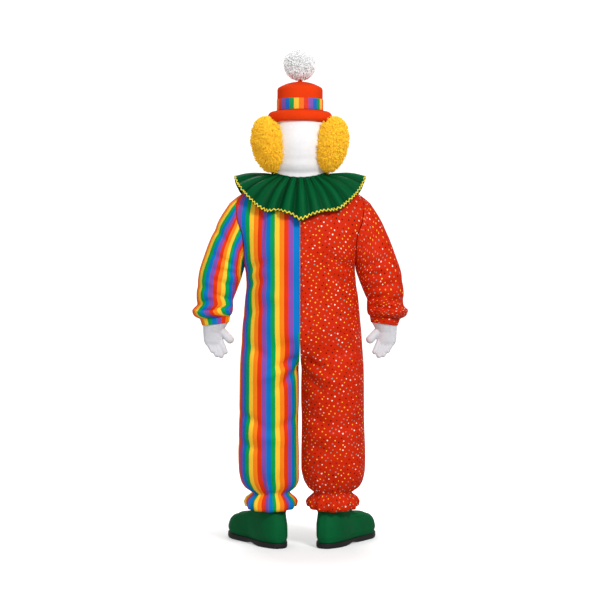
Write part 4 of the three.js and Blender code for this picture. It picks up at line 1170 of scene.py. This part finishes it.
def pompom(draw):
    """A yarn pompom: a felt core and plump cut strands, each a little out of line."""
    bm = bmesh.new()
    middle = lowered((0, 0, POMPOM_Z))
    ball(bm, 4, POMPOM_CORE, middle)
    finished("pompom", as_mesh(bm, "pompom"), "white_yarn", "pompom")
    places = []
    for direction in ball_directions(YARN_LOCKS):
        if direction.z < -0.965:
            continue
        clump = noise.noise_vector(direction * 5)
        along = (direction + clump * 0.5 + Vector([draw.uniform(-0.22, 0.22) for _ in range(3)])).normalized()
        length = (POMPOM_REACH - POMPOM_CORE + 0.007) * (0.82 + 0.26 * draw.random() + 0.16 * clump.y)
        root = middle + direction * (POMPOM_CORE - 0.004)
        places.append(standing(root, along, draw.uniform(0, TAU), (1, 1, length / YARN_LENGTH)))
    strand = lock_shape(4, 3, YARN_LENGTH, 0.0021, 0.3)
    finished("pompom_yarn", join_copies("pompom_yarn", strand, places), "white_yarn", "pompom")


# ------------------------------------------------------------------ hat

CROWN_RADIUS, CROWN_BASE, CROWN_SHOULDER, CROWN_DOME, CROWN_TOP = 0.088, 1.6795, 1.768, 1.776, 1.800
FELT_WALL = 0.004
BAND_BOTTOM, BAND_TOP = 1.689, 1.731
BRIM_ROLL = [(0.0895, 1.6792), (0.091, 1.6855), (0.104, 1.6855), (0.115, 1.682), (0.122, 1.675),
             (0.125, 1.665), (0.1246, 1.654), (0.119, 1.6445), (0.109, 1.640)]
BRIM_SEAT = (1.650, 1.663, 1.676)
TURNS = 120


def spun(name, profile, slot, unevenness=0.0, rounding=0.0, levels=0):
    """A profile of radius and height spun round the upright axis."""
    bm = bmesh.new()
    corners = [bm.verts.new(lowered((radius, 0, z))) for radius, z in profile]
    edges = [bm.edges.new(pair) for pair in zip(corners, corners[1:] + corners[:1])]
    if rounding:
        bmesh.ops.bevel(bm, geom=corners, offset=rounding, affect="VERTICES", segments=3, profile=0.5,
                        material=-1)
    bmesh.ops.spin(bm, geom=bm.verts[:] + bm.edges[:], axis=(0, 0, 1), cent=(0, 0, 0), angle=TAU,
                   steps=TURNS, use_merge=True)
    bmesh.ops.remove_doubles(bm, verts=bm.verts, dist=1e-5)
    bmesh.ops.recalc_face_normals(bm, faces=bm.faces)
    for v in bm.verts:
        v.co += v.normal * unevenness * noise.noise(v.co * 22)
    finished(name, as_mesh(bm, name), slot, name, levels=levels)


def hat():
    dome = [((CROWN_RADIUS - 0.003) * k / 12,
             CROWN_DOME + (CROWN_TOP - CROWN_DOME) * (1 - (k / 12) ** 2.2)) for k in range(13)]
    side = [(CROWN_RADIUS, lerp(CROWN_BASE, CROWN_SHOULDER, k / 8)) for k in range(9)]
    inside = [(max(r - FELT_WALL, 0), z - FELT_WALL) for r, z in dome]
    crown = side + dome[::-1] + inside + [(CROWN_RADIUS - FELT_WALL, CROWN_BASE)]
    spun("hat_crown", crown, "orange_felt", 0.0005)
    seat = [(HEAD.at(z, "depth") + 0.0005, z) for z in BRIM_SEAT]
    spun("hat_brim", seat + [(0.082, 1.6792)] + BRIM_ROLL, "orange_felt", 0.0004, levels=2)
    inner, outer = CROWN_RADIUS + 0.0004, CROWN_RADIUS + 0.0024
    band = [(inner, BAND_BOTTOM), (outer, BAND_BOTTOM), (outer, BAND_TOP), (inner, BAND_TOP)]
    spun("hat_band", band, "striped_ribbon", rounding=0.0005)
    spun("hat_stalk", [(0, 1.8003), (0.0085, 1.8003), (0.0068, 1.805), (0.0068, 1.8187), (0, 1.8187)],
         "orange_felt")


# ------------------------------------------------------------------ gloves

PALM = [(0.376, 0.828, 0.300, 0.832, 0.027), (0.374, 0.796, 0.301, 0.792, 0.019),
        (0.366, 0.780, 0.304, 0.777, 0.013)]
# Root and tip of each finger as x and z, with its radius at both; the last one is the thumb.
FINGERS = [(0.311, 0.800, 0.290, 0.755, 0.0125, 0.0105), (0.329, 0.800, 0.306, 0.740, 0.0125, 0.0105),
           (0.346, 0.800, 0.323, 0.744, 0.0125, 0.0105), (0.362, 0.802, 0.340, 0.759, 0.0115, 0.0095),
           (0.314, 0.846, 0.272, 0.803, 0.016, 0.0165)]
FINGER_CURL = 0.008
KNIT = 0.0016


def bridged_rings(bm, rings):
    """A closed tube through rings of points, with a lid at each end."""
    loops = []
    for ring in rings:
        corners = [bm.verts.new(p) for p in ring]
        loops.append([bm.edges.new(pair) for pair in zip(corners, corners[1:] + corners[:1])])
    for one, two in zip(loops, loops[1:]):
        bmesh.ops.bridge_loops(bm, edges=one + two)
    for loop in (loops[0], loops[-1]):
        bmesh.ops.contextual_create(bm, geom=loop)


def glove(name, side):
    """The hand's parts joined and rounded over, then opened at the wrist, inside the cuff."""
    bm = bmesh.new()
    turns = [k * TAU / 40 for k in range(40)]
    fit = CLOTH + 0.0012
    top = [arm_ring(CUFF_BOTTOM, a, -fit).lerp(arm_ring(CUFF_TOP, a, -fit), 0.75) for a in turns]
    rings = [top, [arm_ring(CUFF_BOTTOM, a, -fit) for a in turns]]
    rings += [[arm_ring(row, a) for a in turns] for row in PALM]
    bridged_rings(bm, [[mirrored(side, p) for p in ring] for ring in rings])
    for root_x, root_z, tip_x, tip_z, root, tip in FINGERS:
        start, end = Vector((root_x, 0, root_z)), Vector((tip_x, FINGER_CURL, tip_z))
        for k in range(13):
            share = k / 12
            ball(bm, 3, lerp(root, tip, share), mirrored(side, start.lerp(end, share)))
    bmesh.ops.recalc_face_normals(bm, faces=bm.faces)
    rough = placed("rough_hand", as_mesh(bm, name))
    skin = rough.modifiers.new("skin", "REMESH")
    skin.mode = "VOXEL"
    skin.voxel_size = 0.0022
    even = rough.modifiers.new("even", "SMOOTH")
    even.factor = 0.6
    even.iterations = 9
    bpy.context.view_layer.update()
    whole = bpy.data.meshes.new_from_object(rough.evaluated_get(bpy.context.evaluated_depsgraph_get()))
    bpy.data.objects.remove(rough)
    bm = bmesh.new()
    bm.from_mesh(whole)
    points = [mirrored(side, p) for p in (top[0], top[10], top[20])]
    across = (points[1] - points[0]).cross(points[2] - points[0]).normalized()
    if across.z < 0:
        across.negate()
    bmesh.ops.bisect_plane(bm, geom=bm.verts[:] + bm.edges[:] + bm.faces[:],
                           plane_co=points[0] - across * 0.002, plane_no=across, clear_outer=True)
    bm.to_mesh(whole)
    bm.free()
    whole.name = name
    finished(name, whole, "white_jersey", name, thickness=KNIT)


# ------------------------------------------------------------------ shoes

SHOE_X, SHOE_Y, SHOE_SPLAY = 0.114, 0.014, 0.46
SHOE_BACK, SHOE_LENGTH, SHOE_WALL, SHOE_ANKLE = -0.076, 0.391, 0.004, 0.015
FOOT = Table("at width", [(-0.076, 0.050), (0, 0.062), (0.090, 0.059), (0.170, 0.075), (0.230, 0.088),
                          (0.290, 0.084), (0.315, 0.074)])
UPPER = Table("row close heel toe swell", [
    (0, 0, 0.0203, 0.0203, -0.003), (1, 0, 0.046, 0.040, 0.004), (2, 0.07, 0.080, 0.067, 0.004),
    (3, 0.2, 0.106, 0.089, 0.002), (4, 0.46, 0.126, 0.107, 0), (5, 0.88, 0.150, 0.131, 0),
    (6, 1, 0.176, 0.170, 0), (7, 1, 0.208, 0.208, 0.0062)])
ANKLE_RADIUS = 0.065
SOLE_HEIGHT, SOLE_WELT, SOLE_TUCK = 0.020, 0.004, 0.004
ARCH_AT, ARCH_WIDTH, ARCH_HEIGHT = 0.070, 0.028, 0.007


def foot_outline(turn, grow):
    at = SHOE_BACK + SHOE_LENGTH * (0.5 + 0.5 * math.cos(turn))
    return Vector((at + grow * math.cos(turn), (FOOT.at(at, "width") + grow) * rounded(math.sin(turn), 0.62)))


def foot_place(side, forward, sideways, z):
    x = SHOE_X - side * SWAY + forward * math.sin(SHOE_SPLAY) + sideways * math.cos(SHOE_SPLAY)
    y = SHOE_Y - forward * math.cos(SHOE_SPLAY) + sideways * math.sin(SHOE_SPLAY)
    return lowered((side * x, y, z))


def upper_point(side, row, turn):
    swell, close = UPPER.at(row, "swell"), UPPER.at(row, "close")
    radius = ANKLE_RADIUS + swell
    ankle = Vector((SHOE_ANKLE + radius * math.cos(turn), radius * math.sin(turn)))
    place = foot_outline(turn, swell).lerp(ankle, close)
    height = lerp(UPPER.at(row, "heel"), UPPER.at(row, "toe"), 0.5 + 0.5 * math.cos(turn))
    return foot_place(side, place.x, place.y, height)


def shoe(name, side):
    """The soft upper, with a seam down the heel, one across the vamp and soft folds at the instep."""
    def surface(s, t):
        return upper_point(side, t * 7, s * TAU)

    def relief(s, t, place):
        turn = s * TAU
        heel_seam = -0.0012 * bell(math.sin(turn / 2) - 1, 0.0016)
        forward = 0.5 + 0.5 * math.cos(turn)
        vamp_seam = -0.002 * bell(forward - 0.42 - 0.16 * t, 0.012)
        fold = -0.0045 * bell(t - 0.62 - 0.06 * math.sin(3 * turn), 0.035) * forward
        fold += 0.003 * bell(t - 0.53 - 0.04 * math.sin(2 * turn + 1), 0.03) * forward
        soft = 0.0036 * noise.noise(place * 14 + Vector((side, 0, 0)))
        return (heel_seam + vamp_seam + fold + soft) * smooth(t / 0.08) * smooth((1 - t) / 0.1)

    mesh = sheet_mesh(name, 120, 72, surface, lambda s, t: (s, t), relief, wrap=True)
    finished(name, mesh, "green_suede", name, thickness=SHOE_WALL)


def sole(name, side):
    """A moulded sole with a rounded edge, a groove round it and a low arch."""
    levels = [(SOLE_WELT - 0.001, SOLE_HEIGHT), (SOLE_WELT, 0.0165), (SOLE_WELT - 0.0008, 0.0145),
              (SOLE_WELT, 0.0125), (SOLE_WELT, 0.006), (SOLE_WELT - 0.0015, 0.0015),
              (SOLE_WELT - SOLE_TUCK, 0)]
    bm = bmesh.new()
    rings = []
    for grow, z in levels:
        ring = []
        for k in range(96):
            place = foot_outline(k * TAU / 96, grow)
            arch = ARCH_HEIGHT * bell(place.x - ARCH_AT, ARCH_WIDTH) * (1 - z / SOLE_HEIGHT) ** 2
            ring.append(foot_place(side, place.x, place.y, z + arch))
        rings.append(ring)
    bridged_rings(bm, rings)
    bmesh.ops.triangulate(bm, faces=[f for f in bm.faces if len(f.verts) > 4])
    bmesh.ops.recalc_face_normals(bm, faces=bm.faces)
    finished(name, as_mesh(bm, name), "black_rubber", name)


SIDES = (("left", LEFT, "striped_cloth"), ("right", RIGHT, "dotted_cloth"))
draw = random.Random(7)
noise.seed_set(7)  # noise_vector starts anywhere without it
for word, side, slot in SIDES:
    panel(f"back_{word}", side, BACK, slot)
    panel(f"front_{word}", side, FRONT, slot)
    sleeve(f"sleeve_{word}", side, slot)
    cuff(f"cuff_{word}", side, slot)
    head_half(f"head_{word}", side)
    hair(f"hair_{word}", side, draw)
    eye(f"eye_{word}", side)
    glove(f"glove_{word}", side)
    shoe(f"shoe_{word}", side)
    sole(f"sole_{word}", side)
hat()
pompom(draw)
nose()
mouth()
neckband()
collar()
braid_ring()

slots = {p["node"]: p["material_slot"] for p in frame["record"]["subparts"]}
for name, node in frame["nodes"].items():
    if name in slots:
        node.data.materials.clear()
        node.data.materials.append(FINISHES[slots[name]])


# ------------------------------------------------------------------ studio

# Name, place, size and power of each lamp.
LAMPS = (("key", (-2.6, 4.8, 2.9), 1.4, 275), ("fill", (2.6, 5.0, 0.6), 2.4, 58),
         ("front", (0.5, -2.6, 3.4), 3.0, 110))


def studio():
    """A white sweep from under the figure up behind it, soft light all round and three soft lamps."""
    bpy.context.scene.view_settings.view_transform = "Standard"
    bend, start = 2.0, -9.0
    profile = [(11.0, 0.0), (start, 0.0)]
    for k in range(1, 17):
        turn = k * math.pi / 32
        profile.append((start - bend * math.sin(turn), bend * (1 - math.cos(turn))))
    profile.append((start - bend, 9.0))
    bm = bmesh.new()
    rows = [[bm.verts.new((x, y, z - NECK_HEIGHT - 0.0005)) for x in (-12, 12)] for y, z in profile]
    for near, far in zip(rows, rows[1:]):
        bm.faces.new((near[0], near[1], far[1], far[0]))
    bmesh.ops.recalc_face_normals(bm, faces=bm.faces)
    mesh = as_mesh(bm, "sweep")
    mesh.shade_smooth()
    sweep = placed("sweep", mesh)
    pale = Finish("pale sweep", 0.9, emission_strength=1.0, specular_ior_level=0.0)
    x, y, _ = pale.split(pale.object_place())
    away = (x * x + y * y) ** 0.5
    # painted shade: the sweep glows less round the shoes, painting a grey pool on the floor there as well as
    # letting their cast shadow show
    glow = away.between(0.25, 1.0) * 0.5 + 0.33  # dimmer under the shoes, so that their shadow shows
    white = pale.node("CombineColor", {0: glow, 1: glow, 2: glow})
    pale.tree.links.new(white.out, pale.shader.inputs["Emission Color"])
    mesh.materials.append(pale.wire((0.68, 0.68, 0.68, 1)))
    sweep.visible_diffuse = sweep.visible_glossy = False
    world = bpy.data.worlds.new("studio")
    bpy.context.scene.world = world
    world.use_nodes = True
    sky = world.node_tree.nodes["Background"]
    sky.inputs["Color"].default_value = (1, 1, 1, 1)
    sky.inputs["Strength"].default_value = 0.5
    for name, place, size, power in LAMPS:
        lamp = bpy.data.lights.new(name, "AREA")
        lamp.energy = power
        lamp.size = size
        light = placed(name, lamp)
        light.location = place
        light.rotation_euler = (Vector((0, 0, -0.5)) - Vector(place)).to_track_quat("-Z", "Y").to_euler()


CAMERA_DISTANCE = 6.4
CAMERA_HEIGHT = 1.150
FOCAL_PIXELS, IMAGE_PIXELS = 1649, 600
HORIZON_ABOVE_MIDDLE = 50


def camera():
    data = bpy.data.cameras.new("camera")
    data.sensor_width = 36
    data.lens = 36 * FOCAL_PIXELS / IMAGE_PIXELS
    eye = placed("camera", data)
    eye.location = (0, CAMERA_DISTANCE, CAMERA_HEIGHT - NECK_HEIGHT)
    tilt = math.atan(HORIZON_ABOVE_MIDDLE / FOCAL_PIXELS)
    eye.rotation_euler = (math.pi / 2 - tilt, 0, math.pi)
    bpy.context.scene.camera = eye


studio()
camera()
